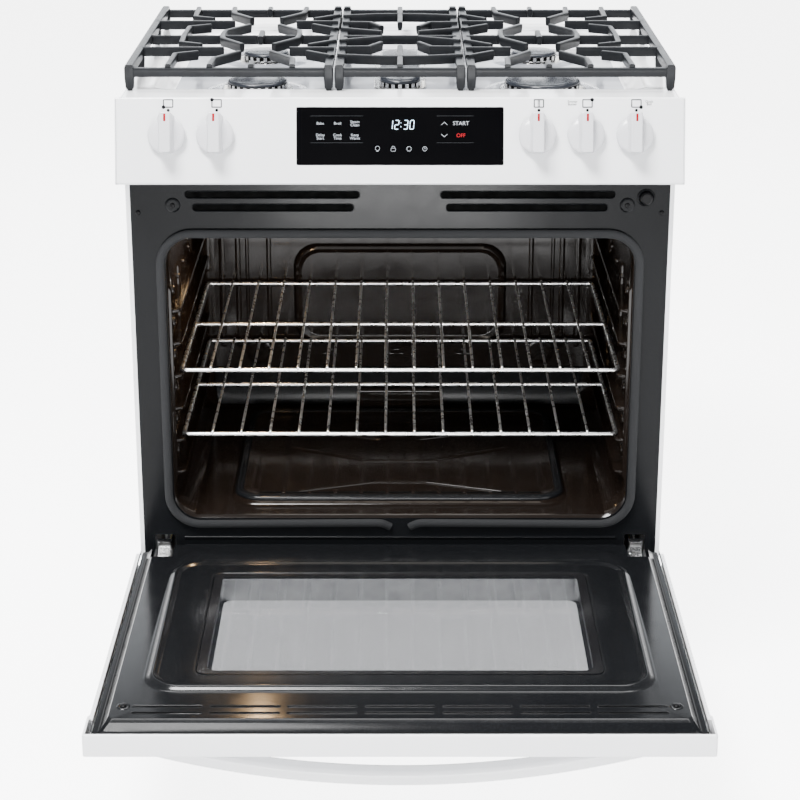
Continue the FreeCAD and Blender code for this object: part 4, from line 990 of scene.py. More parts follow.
def cooktop():
    """A pressed enamel deck with a rolled rim and a sunken well that holds spills."""
    low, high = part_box("cooktop")
    mesh = bmesh.new()

    def ring(inset, z, radius, well=False):
        if well:
            sides = (-WELL_SIDE + inset, WELL_NEAR + inset, WELL_SIDE - inset, WELL_FAR - inset)
        else:
            sides = (low.x + inset, low.y + inset, high.x - inset, high.y - inset)
        return level(rounded(*sides, radius, 8), z)

    rows = [ring(2 * MM, low.z, 3 * MM), ring(0, low.z, 3 * MM)]
    for angle in (0, 30, 60, 90):
        turn = math.radians(angle)
        inset = 4 * MM * (1 - math.cos(turn))
        rows.append(ring(inset, high.z - 4 * MM * (1 - math.sin(turn)), 7 * MM - inset * 0.5))
    rows.append(ring(9 * MM, high.z, 8 * MM))
    rows.append(ring(-14 * MM, high.z, 34 * MM, True))
    for angle in (0, 25, 50, 75):
        turn = math.radians(angle)
        rows.append(ring(-9 * MM + 9 * MM * math.sin(turn), high.z - 9 * MM * (1 - math.cos(turn)), 31 * MM,
                         True))
    for angle in (75, 50, 25, 0):
        turn = math.radians(angle)
        rows.append(ring(4 * MM + 12 * MM * (1 - math.sin(turn)), BASIN + 12 * MM * (1 - math.cos(turn)),
                         26 * MM, True))
    rows.append(ring(16.5 * MM, BASIN, 25 * MM, True))
    loft(mesh, rows, start_cap=False, end_cap=False)
    piece("cooktop_deck", mesh, WHITE, "root", ["cooktop"], 50)
    # The well floor and the burner seats carry the well's painted shade.
    well = bmesh.new()
    loft(well, [ring(16.5 * MM, BASIN, 25 * MM, True), ring(40 * MM, BASIN, 22 * MM, True)],
         start_cap=False)
    piece("cooktop_well", well, SHADED_WELL, "root", angle=50)
    seats = bmesh.new()
    for side, y, cap in BURNERS.values():
        place = Matrix.Translation((side * BURNER_X, y, BASIN))
        radius = (cap + 15) * MM
        lathe(seats, [(radius + 14 * MM, -0.1 * MM), (radius + 7 * MM, 1.4 * MM), (radius, 2.6 * MM),
                      (radius - 7 * MM, 2.6 * MM)], place, 64)
    piece("burner_seats", seats, SHADED_WELL, "root", angle=60)


def oval_loop(radius, half, z, steps=14):
    """A stadium-shaped loop round the middle burner."""
    points = []
    for end in (1, -1):
        for step in range(steps + 1):
            angle = math.radians(90 - 90 * end + 180 * step / steps)
            points.append(Vector((radius * math.cos(angle), OVAL_Y + end * half + radius * math.sin(angle),
                                  z)))
    return points


def burner_ring(mesh, place, cap):
    """Flange and flame ring: a bright skirt, port teeth all round and a recessed throat."""
    outline = ((cap + 8, 0), (cap + 8, 2), (cap + 6.5, 3), (cap + 2, 3.4), (cap - 1.5, 4.2),
               (cap - 2, 10.6), (cap - 9, 10.8), (cap - 10, 8), (0, 8))
    lathe(mesh, in_mm(*outline), place, 72)
    teeth = 26 if cap > 40 else 20
    for tooth in range(teeth):
        turn = place @ Matrix.Rotation(math.tau * tooth / teeth, 4, "Z")
        block(mesh, ((cap - 3) * MM, -2.5 * MM, 4.5 * MM), ((cap + 1.2) * MM, 2.5 * MM, 10.8 * MM),
              0.7 * MM, 2, turn)


def burners():
    """Burner heads with their ports, caps and spark electrodes."""
    rings = bmesh.new()
    for side, y, cap in BURNERS.values():
        burner_ring(rings, Matrix.Translation((side * BURNER_X, y, BASIN)), cap)
    for outer, inner, low, high in ((37, 30, 0, 3.2), (27, 24, 3.2, 10.8)):
        loops = [oval_loop(outer * MM, OVAL_HALF, BASIN + low * MM),
                 oval_loop(outer * MM, OVAL_HALF, BASIN + (high - 1) * MM),
                 oval_loop((outer - 1) * MM, OVAL_HALF, BASIN + high * MM),
                 oval_loop(inner * MM, OVAL_HALF, BASIN + high * MM)]
        loft(rings, loops, start_cap=False)
    for side in (-1, 1):
        for index in range(16):
            y = OVAL_Y - OVAL_HALF + 2 * OVAL_HALF * index / 15
            block(rings, (min(side * 25, side * 29) * MM, y - 3 * MM, BASIN + 4.5 * MM),
                  (max(side * 25, side * 29) * MM, y + 3 * MM, BASIN + 10.8 * MM), 0.7 * MM, 2)
        for index in range(9):
            turn = Matrix.Translation((0, OVAL_Y + side * OVAL_HALF, BASIN)) @ \
                Matrix.Rotation(math.radians(side * (10 + 160 * index / 8)), 4, "Z")
            block(rings, (24 * MM, -2.8 * MM, 4.5 * MM), (29 * MM, 2.8 * MM, 10.8 * MM), 0.7 * MM, 2, turn)
    piece("burner_rings", rings, ALUMINIUM, "root", ["burner_heads"])
    ports = bmesh.new()
    for side, y, cap in BURNERS.values():
        lathe(ports, in_mm((cap - 1.7, 4.4), (cap - 1.5, 5), (cap - 1.5, 10), (cap - 1.7, 10.5)),
              Matrix.Translation((side * BURNER_X, y, BASIN)), 72)
    loft(ports, [oval_loop(radius * MM, OVAL_HALF, BASIN + height * MM)
                 for radius, height in ((27.2, 4), (27.5, 4.6), (27.5, 10), (27.2, 10.6))],
         start_cap=False, end_cap=False)
    # The ports are a dark ring of painted shade behind the teeth.
    piece("burner_ports", ports, OPENING_SHADE, "root")
    for name, (side, y, cap) in BURNERS.items():
        node = "burner_cap_" + name
        low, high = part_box(node)
        base = BASIN + 11.3 * MM
        outline = ((cap - 6, 0.2), (cap, 0.2), (cap, 1.6), (cap - 0.5, 2.8), (cap - 2, 3.9),
                   (cap - 4.5, 4.5), (cap - 8, 4.6), (cap - 10, 4.9), (cap * 0.4, 5.3), (0, 5.45))
        mesh = bmesh.new()
        lathe(mesh, in_mm((0, -3.2), (9.5, -3.2), (9.5, 0.2)) + in_mm(*outline),
              Matrix.Translation((side * BURNER_X, y, base)), 72)
        piece(node + "_disc", mesh, CAP, node, [node], 50)
    mesh = bmesh.new()
    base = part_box("burner_cap_centre")[0].z
    loops = [oval_loop((29 - inset) * MM, OVAL_HALF, base + height * MM) for inset,
             height in ((5, 0), (0, 0), (0, 1.8), (0.6, 3.2), (2, 4.4), (4.5, 5.1), (9, 5.2), (11, 5.45))]
    loft(mesh, loops)
    piece("burner_cap_centre_bar", mesh, CAP, "burner_cap_centre", ["burner_cap_centre"], 50)
    sparks = bmesh.new()
    tips = bmesh.new()
    spots = [(side * BURNER_X + math.cos(math.radians(205 if side < 0 else -25)) * (cap + 5) * MM,
              y + math.sin(math.radians(-25)) * (cap + 5) * MM) for side, y, cap in BURNERS.values()]
    spots.append((33 * MM, OVAL_Y - OVAL_HALF))
    for x, y in spots:
        place = Matrix.Translation((x, y, BASIN + 2 * MM))
        lathe(sparks, in_mm((3.2, 0), (3.2, 5), (2.4, 6), (2.4, 8), (1.2, 8.6), (0, 8.6)), place, 18)
        lathe(tips, in_mm((0.8, 8), (0.8, 10.5), (0, 11)), place, 10)
    piece("spark_ceramics", sparks, CERAMIC, "root", angle=50)
    piece("spark_tips", tips, TUBE, "root")


def casting(mesh, points, top, depth, width, tip=False):
    """A cast bar along plan points: round-topped, narrower below, its far end eased if it is a fingertip."""
    half = width / 2
    low = 0.7 * half
    section = [(-low, -depth), (low, -depth), (half, -depth * 0.45), (half, -2 * MM),
               (half - 0.6 * MM, -0.7 * MM), (half - 2.2 * MM, 0), (-half + 2.2 * MM, 0),
               (-half + 0.6 * MM, -0.7 * MM), (-half, -2 * MM), (-half, -depth * 0.45)]
    path = level(points, top)
    if tip:
        reach = (path[-1] - path[-2]).normalized()
        end = path.pop()
        path += [end - reach * 1.6 * MM, end - reach * 0.4 * MM, end]
    scales = [1.0] * len(path)
    if tip:
        scales[-2:] = [0.94, 0.78]
    sweep(mesh, path, section, scales=scales)


def grate_foot(mesh, x, y, low, width, wide=1.0):
    """A tapered leg with a round button under it."""
    half = width / 2
    top = GRATE_TOP - 4 * MM
    loops = []
    for z, size in ((low + 3 * MM, 0.78), (low + 5 * MM, 0.86), (top - 14 * MM, 1.0), (top, 1.0)):
        loops.append([Vector((x + u * size * wide, y + v * size, z))
                      for u, v in rounded(-half, -half, half, half, 2 * MM, 3)])
    loft(mesh, loops)
    lathe(mesh, in_mm((0, 0), (3.6, 0), (4, 1), (4, 4)), Matrix.Translation((x, y, low)), 16)


def side_grate(side):
    """A cast grate over two burners: outer frame, rails and the fingers that carry the pans."""
    node = "grate_left" if side < 0 else "grate_right"
    mesh = bmesh.new()
    rail = GRATE_RAIL
    wall_x = HALF_BODY - 9 * MM
    joint_x = 96.5 * MM
    near, far = GRATE_NEAR, GRATE_FAR
    middle = (near + far) / 2

    def cast(points, top, depth, width, **ends):
        casting(mesh, [(side * x, y) for x, y in points], top, depth, width, **ends)

    for y in (near, far):
        cast([(wall_x, y), (joint_x, y)], GRATE_TOP - 5 * MM, 12 * MM, rail)
        for x in (wall_x, joint_x):
            grate_foot(mesh, side * x, y, FOOT_LOW, 13 * MM)
        cast([(joint_x, y - 6 * MM), (joint_x, y + 6 * MM)], GRATE_TOP, 16 * MM, rail)
    cast([(wall_x, near - 6 * MM), (wall_x, far + 6 * MM)], GRATE_TOP, 16 * MM, rail)
    cast([(joint_x, near), (joint_x, far)], GRATE_TOP - 4 * MM, 15 * MM, 12 * MM)
    finger, depth = FINGER, FINGER_DEEP
    cast([(wall_x, middle), (joint_x, middle)], GRATE_TOP - 3 * MM, depth, finger)
    bx = BURNER_X
    for y, out in ((FRONT_BURNER_Y, near), (REAR_BURNER_Y, far)):
        toward = 1 if out > y else -1
        grate_foot(mesh, side * wall_x, y, FOOT_LOW, 12 * MM)
        cast([(wall_x, y), (bx + 46 * MM, y)], GRATE_TOP, depth, finger, tip=True)
        cast([(joint_x - 4 * MM, y), (bx - 46 * MM, y)], GRATE_TOP, depth, finger, tip=True)
        for rail_y, way in ((out, toward), (middle, -toward)):
            for across in (-1, 1):
                cast([(bx + across * 56 * MM, rail_y), (bx + across * 54 * MM, y + way * 80 * MM),
                      (bx + across * 22 * MM, y + way * 28 * MM)], GRATE_TOP, depth, finger, tip=True)
            cast([(bx, rail_y), (bx, rail_y - way * 26 * MM)], GRATE_TOP, depth, finger, tip=True)
            cast([(wall_x - 52 * MM, rail_y), (wall_x - 54 * MM, y + way * 46 * MM),
                  (wall_x - 84 * MM, y + way * 28 * MM)], GRATE_TOP, depth, finger, tip=True)
            cast([(joint_x - 3 * MM, y + way * 61 * MM), (joint_x + 33 * MM, y + way * 26 * MM)], GRATE_TOP,
                 depth, finger, tip=True)
    piece(node + "_casting", mesh, IRON, node, [node], 40)


def centre_grate():
    """The narrow cast grate over the oval burner."""
    mesh = bmesh.new()
    rail_x, rail = 82 * MM, GRATE_RAIL
    near, far = GRATE_NEAR, GRATE_FAR
    middle = (near + far) / 2
    finger, depth = FINGER, FINGER_DEEP
    for y in (near, far):
        casting(mesh, [(-rail_x, y), (rail_x, y)], GRATE_TOP - 5 * MM, 12 * MM, rail)
        for side in (-1, 1):
            grate_foot(mesh, side * rail_x, y, FOOT_LOW, 13 * MM)
            casting(mesh, [(side * rail_x, y - 6 * MM), (side * rail_x, y + 6 * MM)], GRATE_TOP, 16 * MM,
                    rail)
    for side in (-1, 1):
        casting(mesh, [(side * rail_x, near), (side * rail_x, far)], GRATE_TOP - 4 * MM, 15 * MM, 12 * MM)
    casting(mesh, [(-rail_x, middle), (rail_x, middle)], GRATE_TOP - 3 * MM, 13 * MM, finger)
    for way in (-1, 1):
        out = far if way > 0 else near
        casting(mesh, [(0, out), (0, middle + way * 96 * MM)], GRATE_TOP, depth, finger, tip=True)
        for side in (-1, 1):
            edge = side * (rail_x + 4 * MM)
            casting(mesh, [(edge, middle + way * 164 * MM), (side * 34 * MM, middle + way * 176 * MM),
                           (0, middle + way * 178 * MM)], GRATE_TOP, depth, finger)
            casting(mesh, [(edge, middle + way * 104 * MM), (side * 44 * MM, middle + way * 102 * MM),
                           (side * 27 * MM, middle + way * 66 * MM)], GRATE_TOP, depth, finger, tip=True)
            casting(mesh, [(edge, middle + way * 50 * MM), (side * 27 * MM, middle + way * 22 * MM)],
                    GRATE_TOP, depth, finger, tip=True)
    piece("grate_centre_casting", mesh, IRON, "grate_centre", ["grate_centre"], 40)


cooktop()
burners()
side_grate(-1)
side_grate(1)
centre_grate()


# ---------------------------------------------------------------- control panel

def control_panel():
    """A folded enamel panel: a slanted face with a rolled lower edge, closed by two ends."""
    mesh = bmesh.new()
    low_y, low_z, high_z = PANEL_LOW.y, PANEL_LOW.z, PANEL_HIGH.z
    top = Vector((0, low_y, low_z)) + FACE_UP * ((high_z - low_z) / FACE_UP.z)
    path = [(FRONT - 4 * MM, low_z), (low_y + 6 * MM, low_z)]
    roll = 6 * MM
    for step in range(1, 6):
        part = step / 5
        start, corner = Vector((low_y + roll, low_z)), Vector((low_y + 0.3 * MM, low_z))
        stop = Vector((low_y, low_z)) + Vector((FACE_UP.y, FACE_UP.z)) * roll
        point = start * (1 - part) ** 2 + corner * (2 * part * (1 - part)) + stop * part ** 2
        path.append(tuple(point))
    path.append((top.y - FACE_UP.y * 2 * MM, top.z - FACE_UP.z * 2 * MM))
    path.append((top.y + 0.4 * MM, top.z - 0.5 * MM))
    path.append((top.y + 1.6 * MM, top.z))
    path.append((top.y + 3.2 * MM, top.z - 0.2 * MM))
    outline = sheet_outline(path, -1.6 * MM)
    prism(mesh, outline, -HALF_WIDE + 0.4 * MM, HALF_WIDE - 0.4 * MM)
    piece("panel_skin", mesh, WHITE, "root", ["control_panel"], 50)
    ends = bmesh.new()
    for side in (-1, 1):
        face = [(low_y + roll, low_z)] + [point for point in path[2:8]] + [(top.y + 2 * MM, top.z - 1 * MM),
                                                                           (FRONT - 29 * MM,
                                                                            BASIN - 6 * MM),
                                                                           (FRONT - 4 * MM, BASIN - 6 * MM),
                                                                           (FRONT - 4 * MM, low_z)]
        end_plate(ends, side, face, ((0, 0.7), (0.35, 0.15), (1.1, 0), (2.5, 0)))
    piece("panel_ends", ends, WHITE, "root", angle=50)


def knob(index):
    """A white moulded knob: a domed skirt, a tall grip bar and a red pointer line."""
    name = f"knob_{index}"
    place = face_matrix(KNOB_AXES[name][0].x)
    mesh = bmesh.new()
    lathe(mesh, in_mm((4, 4.2), (24.2, 4), (24.9, 4.8), (25, 7), (24.6, 8.6), (23.2, 10.2), (20, 11.8),
                      (14, 13.2), (0, 14)), place, 72)
    loops = []
    for height, half, low, high, radius in ((10, 11.6, -23.5, 26.5, 4), (14, 9.8, -24, 28.3, 3.4),
                                            (20, 8.6, -24.3, 29.2, 3), (27, 7.8, -24.2, 29.4, 2.8),
                                            (29.6, 7.4, -23.9, 29.2, 2.6), (30.6, 6.8, -23.3, 28.6, 2.3),
                                            (31, 5.9, -22.4, 27.7, 1.8)):
        loops.append([place @ Vector((x, y, height * MM))
                      for x, y in rounded(-half * MM, low * MM, half * MM, high * MM, radius * MM, 5)])
    loft(mesh, loops)
    piece(name + "_moulding", mesh, SHADED_KNOB, name, [name], 40)
    line = bmesh.new()
    block(line, (-1.5 * MM, 17 * MM, 30.9 * MM), (1.5 * MM, 27 * MM, 31.2 * MM), 0.1 * MM, 1, place)
    piece(name + "_pointer", line, RED_INK, name)


def burner_icons():
    """Over each knob, a small printed cooktop plan with a dot at that knob's burner, and an index dot."""
    mesh = bmesh.new()
    spots = {1: (-1, -1), 2: (-1, 1), 3: (0, 0), 4: (1, 1), 5: (1, -1)}
    half_wide, half_high = 6.2 * MM, 4.9 * MM
    for index, (across, up) in spots.items():
        x = KNOB_AXES[f"knob_{index}"][0].x
        middle = face_matrix(x + 2 * MM, 42.5 * MM, 0.3 * MM)
        ribbon(mesh, rounded(-half_wide, -half_high, half_wide, half_high, 0.3 * MM, 2), 1.35 * MM, middle,
               True)
        if across:
            lathe(mesh, in_mm((0, 0.14), (2.5, 0.14), (2.5, 0)),
                  middle @ Matrix.Translation((across * half_wide, up * half_high, 0)), 20)
        else:
            for line in (-0.9 * MM, 0.9 * MM):
                ribbon(mesh, [(line, -half_high), (line, half_high)], 0.9 * MM, middle)
        lathe(mesh, in_mm((0, 0.14), (2.0, 0.14), (2.0, 0)), face_matrix(x + 2 * MM, 33.5 * MM, 0.3 * MM),
              18)
    piece("burner_icons", mesh, BLACK_INK, "root")
    for knob_name, words, shift in (("knob_4", "Simmer\nBurner", -18), ("knob_5", "Quick\nBoil", 19)):
        x = KNOB_AXES[knob_name][0].x + shift * MM
        label("burner_label_" + knob_name, words, x, 43 * MM, 4.2 * MM, BLACK_INK, lift=0.35 * MM)


SEGMENTS = {"0": "abcdef", "1": "bc", "2": "abged", "3": "abgcd"}
SEGMENT_ENDS = {"a": ((0, 2), (1, 2)), "b": ((1, 2), (1, 1)), "c": ((1, 1), (1, 0)), "d": ((0, 0), (1, 0)),
                "e": ((0, 1), (0, 0)), "f": ((0, 2), (0, 1)), "g": ((0, 1), (1, 1))}


def clock(mesh, place):
    """Lit seven-segment digits with a colon."""
    wide, tall, pitch = 5.0 * MM, 5.8 * MM, 8.2 * MM
    lean = 0.1
    for column, digit in zip((0, 1, 2.45, 3.45), "1230"):
        for segment in SEGMENTS[digit]:
            (x0, y0), (x1, y1) = SEGMENT_ENDS[segment]
            ends = [Vector((x0 * wide, y0 * tall, 0)), Vector((x1 * wide, y1 * tall, 0))]
            along = (ends[1] - ends[0]).normalized() * 0.45 * MM
            ends = [ends[0] + along, ends[1] - along]
            shift = Vector((column * pitch, 0, 0))
            ribbon(mesh, [((point + shift).x + point.y * lean, point.y) for point in ends], 0.8 * MM, place)
    for y in (0.55, 1.45):
        ribbon(mesh, [(1.98 * pitch + wide * 0.1, y * tall - 0.4 * MM),
                      (1.98 * pitch + wide * 0.1, y * tall + 0.4 * MM)], 0.9 * MM, place)


def label(name, words, x, up, size, material, lift=0.55 * MM):
    """Generic printed lettering, centred at a place on the control face or its glass."""
    lettering(name, words, size, 0.02 * MM, material, face_matrix(x, up, lift), 0.85)


def touch_icons(mesh, place):
    """Four touch keys in a row: light, padlock, settings and clock."""
    low, thin, thick = -17.5 * MM, 0.45 * MM, 0.5 * MM
    light, lock, settings, timer = (x * MM for x in (-30, -9, 12, 33))

    def wheel(x, radii, steps):
        points = []
        for step in range(steps):
            radius, angle = radii[step % len(radii)] * MM, math.tau * step / steps
            points.append((x + radius * math.cos(angle), low + radius * math.sin(angle)))
        return points

    ribbon(mesh, [(light - 1.3 * MM, low - 3.3 * MM), (light + 1.3 * MM, low - 3.3 * MM)], thick, place)
    ribbon(mesh, [(x, y + 0.6 * MM) for x, y in wheel(light, (2.9,), 20)], thin, place, True)
    arch = [(lock + 1.9 * MM * math.cos(math.pi * step / 8),
             low + 1.2 * MM + 2.2 * MM * math.sin(math.pi * step / 8)) for step in range(9)]
    ribbon(mesh, arch, thick, place)
    body = rounded(lock - 3 * MM, low - 3.2 * MM, lock + 3 * MM, low + 0.8 * MM, 0.8 * MM, 3)
    ribbon(mesh, body, thin, place, True)
    ribbon(mesh, wheel(settings, (2.6, 3.5), 16), thin, place, True)
    ribbon(mesh, wheel(timer, (2.9,), 20), thin, place, True)
    ribbon(mesh, [(timer, low + 2.0 * MM), (timer, low), (timer + 1.6 * MM, low)], thin, place)


def display():
    """Black glass with printed functions, touch icons and a lit clock."""
    low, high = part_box("display_glass")
    half = high.x
    tall = (high.z - low.z) / 2 / FACE_UP.z - 0.4 * MM
    glass = bmesh.new()
    loops = []
    for height, inset in ((-1.5, 0), (0.15, 0), (0.38, 0.12), (0.45, 0.4)):
        place = face_matrix(0, -0.7 * MM, height * MM)
        loops.append([place @ Vector((x, y, 0)) for x, y in rounded(-half + inset * MM, -tall + inset * MM,
                                                                    half - inset * MM, tall - inset * MM,
                                                                    2 * MM, 5)])
    loft(glass, loops)
    piece("display_panel", glass, DISPLAY, "root", ["display_glass"])
    lit = bmesh.new()
    clock(lit, face_matrix(-15.5 * MM, 8.5 * MM, 0.5 * MM))
    piece("clock_digits", lit, DIGITS, "root")
    marks = bmesh.new()
    place = face_matrix(0, 0, 0.5 * MM)
    lines = bmesh.new()
    for y in (26, -9.5):
        ribbon(lines, in_mm((-119, y), (-49, y)), 0.35 * MM, place)
        ribbon(lines, in_mm((49, y), (98, y)), 0.35 * MM, place)
    piece("display_lines", lines, DIM_LINES, "root")
    for sign in (-1, 1):
        ribbon(marks, in_mm((55, 8 - sign * 1.8 + 8 * sign), (59, 8 + sign * 1.8 + 8 * sign),
                            (63, 8 - sign * 1.8 + 8 * sign)), 0.6 * MM, place)
    touch_icons(marks, place)
    piece("display_marks", marks, LABELS, "root")
    words = (("bake", "Bake", -106, 16), ("broil", "Broil", -83, 16), ("clean", "Steam\nClean", -60, 16),
             ("delay", "Delay\nStart", -106, -1.5), ("cook_time", "Cook\nTime", -83, -1.5),
             ("warm", "Keep\nWarm", -60, -1.5))
    for name, text, x, up in words:
        label("label_" + name, text, x * MM, up * MM, 5.1 * MM, LABELS)
    label("label_start", "START", 81 * MM, 16 * MM, 7.4 * MM, LABELS)
    label("label_off", "OFF", 81 * MM, 0, 7.0 * MM, RED_LABEL)


control_panel()
for number in range(1, 6):
    knob(number)
burner_icons()
display()

# ---------------------------------------------------------------- oven door

LINER_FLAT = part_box("door_liner")[1].z - 6 * MM
HINGE_X = 338 * MM
LINER_SCREW_X = 336 * MM
LINER_SCREW_Y = FRONT - 518 * MM
WINDOW_LOW, WINDOW_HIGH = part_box("door_inner_glass")


def door_skin():
    """The white outer door panel: a pan with rolled sides and turned-in flanges, cut out for its glass."""
    low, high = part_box("door_outer_panel")
    glass_low, glass_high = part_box("door_outer_glass")
    mesh = bmesh.new()
    half, up = high.x, 20 * MM
    wall = [(half - 7 * MM, up - 1.5 * MM), (half - 7 * MM, up), (half - 2 * MM, up),
            (half - 0.6 * MM, up - 0.5 * MM), (half, up - 2 * MM), (half, 3 * MM),
            (half - 0.9 * MM, 0.9 * MM), (half - 3 * MM, 0)]
    inner = [(half - 3 * MM, 1.6 * MM), (half - 1.7 * MM, 3 * MM), (half - 1.7 * MM, up - 1.5 * MM)]
    for side in (-1, 1):
        outline = [(side * x, low.z + z) for x, z in wall + inner]
        loops = [upright(outline, y) for y in (low.y, low.y + 0.6 * MM, high.y - 0.6 * MM, high.y)]
        loft(mesh, loops)
    outer = rounded(-half + 3 * MM, low.y, half - 3 * MM, high.y, 1 * MM, 6)
    hole = rounded(glass_low.x, glass_low.y, glass_high.x, glass_high.y, 8 * MM, 6)
    rows = [level(hole, low.z + 1.6 * MM), level(hole, low.z + 0.3 * MM),
            level(rounded(glass_low.x - 0.4 * MM, glass_low.y - 0.4 * MM, glass_high.x + 0.4 * MM,
                          glass_high.y + 0.4 * MM, 8.4 * MM, 6), low.z), level(outer, low.z),
            level(outer, low.z + 1.6 * MM), level(hole, low.z + 1.6 * MM)]
    loft(mesh, rows, start_cap=False, end_cap=False)
    piece("door_skin", mesh, WHITE, "door", ["door_outer_panel"], 40)


def door_trim():
    """The white band across the door's upper end, wrapped back round both corners."""
    low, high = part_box("door_top_trim")
    mesh = bmesh.new()
    back_y = high.y
    arm_y = low.y + 50 * MM
    rise = high.z - low.z
    profile = [(0.6, 0), (0, 0.8), (0, rise / MM - 2.4), (0.5, rise / MM - 0.8), (1.8, rise / MM),
               (3.4, rise / MM)]
    profile += [(3.4, rise / MM - 1.4), (2, rise / MM - 2.6), (2, 1.8), (2.4, 0)]
    path = [(low.x, arm_y), (low.x, low.y), (high.x, low.y), (high.x, arm_y)]
    corners = bend(level(path, 0), 3.5 * MM, 5)
    loops = []
    count = len(corners)
    for index, point in enumerate(corners):
        into = (point - corners[index - 1]).normalized() if index else (corners[1] - point).normalized()
        out = (corners[index + 1] - point).normalized() if index < count - 1 else into
        inward = Vector((-(into.y + out.y), into.x + out.x, 0)).normalized()
        stretch = 1 / max(0.4, inward.dot(Vector((-into.y, into.x, 0))))
        loops.append([Vector((point.x, point.y, low.z + up * MM)) + inward * (depth * MM * stretch)
                      for depth, up in profile])
    loft(mesh, loops)
    loft(mesh, [level(rounded(low.x + 2 * MM, low.y + 2 * MM, high.x - 2 * MM, back_y, 2 * MM, 4),
                      low.z + z * MM) for z in (0, 1.2)])
    piece("door_trim_band", mesh, WHITE, "door", ["door_top_trim"], 40)
    lining = bmesh.new()
    loft(lining, [level(rounded(low.x + 2.6 * MM, low.y + 2.6 * MM, high.x - 2.6 * MM, back_y - 0.4 * MM,
                                2 * MM, 4), low.z + z * MM) for z in (1.1, 1.9)])
    piece("door_trim_lining", lining, BLACK, "door")
    bumpers = bmesh.new()
    for side in (-1, 1):
        x0, x1 = sorted((side * (HALF_WIDE - 0.6 * MM), side * (HALF_WIDE - 8 * MM)))
        block(bumpers, (x0, arm_y, low.z + 6 * MM), (x1, arm_y + 14 * MM, low.z + 24 * MM), 2 * MM, 3)
    piece("door_trim_ends", bumpers, WHITE, "door")


def door_handle():
    """A wide bow handle, one even arc from end to end, faired into the door at both ends."""
    low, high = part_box("door_handle")
    mesh = bmesh.new()
    half = high.x
    stand = DOOR_FACE - low.z
    radius = (half ** 2 + stand ** 2) / (2 * stand)
    centre_z = low.z + radius
    thick, width = 19 * MM, high.y - low.y
    end_gap = 12 * MM
    middle_y = (low.y + high.y) / 2
    reach = math.asin((half - end_gap) / radius)
    section = rounded(-width / 2, -thick / 2, width / 2, thick / 2, 6.5 * MM, 6)
    loops = []
    steps = 64
    for step in range(steps + 1):
        angle = -reach + 2 * reach * step / steps
        outward = Vector((math.sin(angle), 0, -math.cos(angle)))
        centre = Vector((0, middle_y, centre_z)) + outward * (radius - thick / 2)
        loops.append([centre + Vector((0, u, 0)) + outward * v for u, v in section])
    loft(mesh, loops)
    piece("handle_bow", mesh, WHITE, "door", ["door_handle"], 40)
    for vert in bpy.data.objects["handle_bow"].data.vertices:
        vert.co.z = min(vert.co.z, DOOR_FACE + 0.4 * MM)


def hinge_notches(mesh):
    """The two rectangular openings the hinge arms pass through."""
    notch_far, notch_half = FRONT - 66 * MM, 16 * MM
    hinges = [side * HINGE_X for side in (-1, 1)]
    planes = [((x + edge, 0, 0), (1, 0, 0)) for x in hinges for edge in (-notch_half, notch_half)]
    for at, across in planes + [((0, notch_far, 0), (0, 1, 0))]:
        bmesh.ops.bisect_plane(mesh, geom=mesh.verts[:] + mesh.edges[:] + mesh.faces[:], plane_co=at,
                               plane_no=across)
    inside = []
    for face in mesh.faces:
        centre = face.calc_center_median()
        if centre.y > notch_far and any(abs(centre.x - x) < notch_half for x in hinges):
            inside.append(face)
    bmesh.ops.delete(mesh, geom=inside, context="FACES")


def liner_skin():
    """The gloss black inner door: a raised bead and plug, a window opening, and sloped outer edges."""
    mesh = bmesh.new()
    flat = LINER_FLAT
    near, far = FRONT - 22 * MM, FRONT - 548 * MM
    side_flat = 350 * MM

    def loop(left, low, right, high, radius, z, steps=8):
        return level(rounded(left, low, right, high, radius, steps), z)

    edge_low, edge_high = far - 22 * MM, near
    rows = [loop(-369 * MM, edge_low, 369 * MM, edge_high, 3 * MM, flat - 21 * MM),
            loop(-369 * MM, edge_low, 369 * MM, edge_high, 3 * MM, flat - 13 * MM),
            loop(-368 * MM, edge_low + 0.8 * MM, 368 * MM, edge_high - 0.5 * MM, 3.4 * MM, flat - 12 * MM),
            loop(-364 * MM, edge_low + 3 * MM, 364 * MM, edge_high - 0.9 * MM, 4 * MM, flat - 12.4 * MM),
            loop(-360 * MM, edge_low + 8 * MM, 360 * MM, edge_high - 1.2 * MM, 5 * MM, flat - 10.6 * MM),
            loop(-353.5 * MM, far - 6 * MM, 353.5 * MM, near - 1.5 * MM, 6 * MM, flat - 3.2 * MM),
            loop(-352 * MM, far - 1.8 * MM, 352 * MM, near - 2 * MM, 7 * MM, flat - 0.8 * MM),
            loop(-side_flat, far + 0.4 * MM, side_flat, near - 3 * MM, 8 * MM, flat)]
    left, low, right, high = -317 * MM, FRONT - 480 * MM, 317 * MM, FRONT - 88 * MM
    corner = 42 * MM
    for inset, height in ((-3, 0), (0.5, 0.4), (3, 3.2), (5.5, 5.4), (8, 6), (10.5, 5.5), (13, 3.9),
                          (16, 3.3), (30, 3.1)):
        rows.append(loop(left + inset * MM, low + inset * MM, right - inset * MM, high - inset * MM,
                         corner - inset * 0.6 * MM, flat + height * MM))
    hole = (WINDOW_LOW.x + 1 * MM, WINDOW_LOW.y + 1 * MM, WINDOW_HIGH.x - 1 * MM, WINDOW_HIGH.y - 1 * MM)
    for inset, height in ((-4, 3.1), (-1.5, 2.9), (0, 1.8), (0.3, -1.5)):
        rows.append(loop(hole[0] + inset * MM, hole[1] + inset * MM, hole[2] - inset * MM,
                         hole[3] - inset * MM, 12 * MM, flat + height * MM))
    edges = bmesh.new()
    loft(edges, rows[:6], start_cap=False, end_cap=False)
    loft(mesh, rows[5:], start_cap=False, end_cap=False)
    for skin in (mesh, edges):
        hinge_notches(skin)
    piece("door_liner_skin", mesh, LINER, "door", ["door_liner"], 50)
    piece("door_liner_edges", edges, BLACK, "door", angle=50)


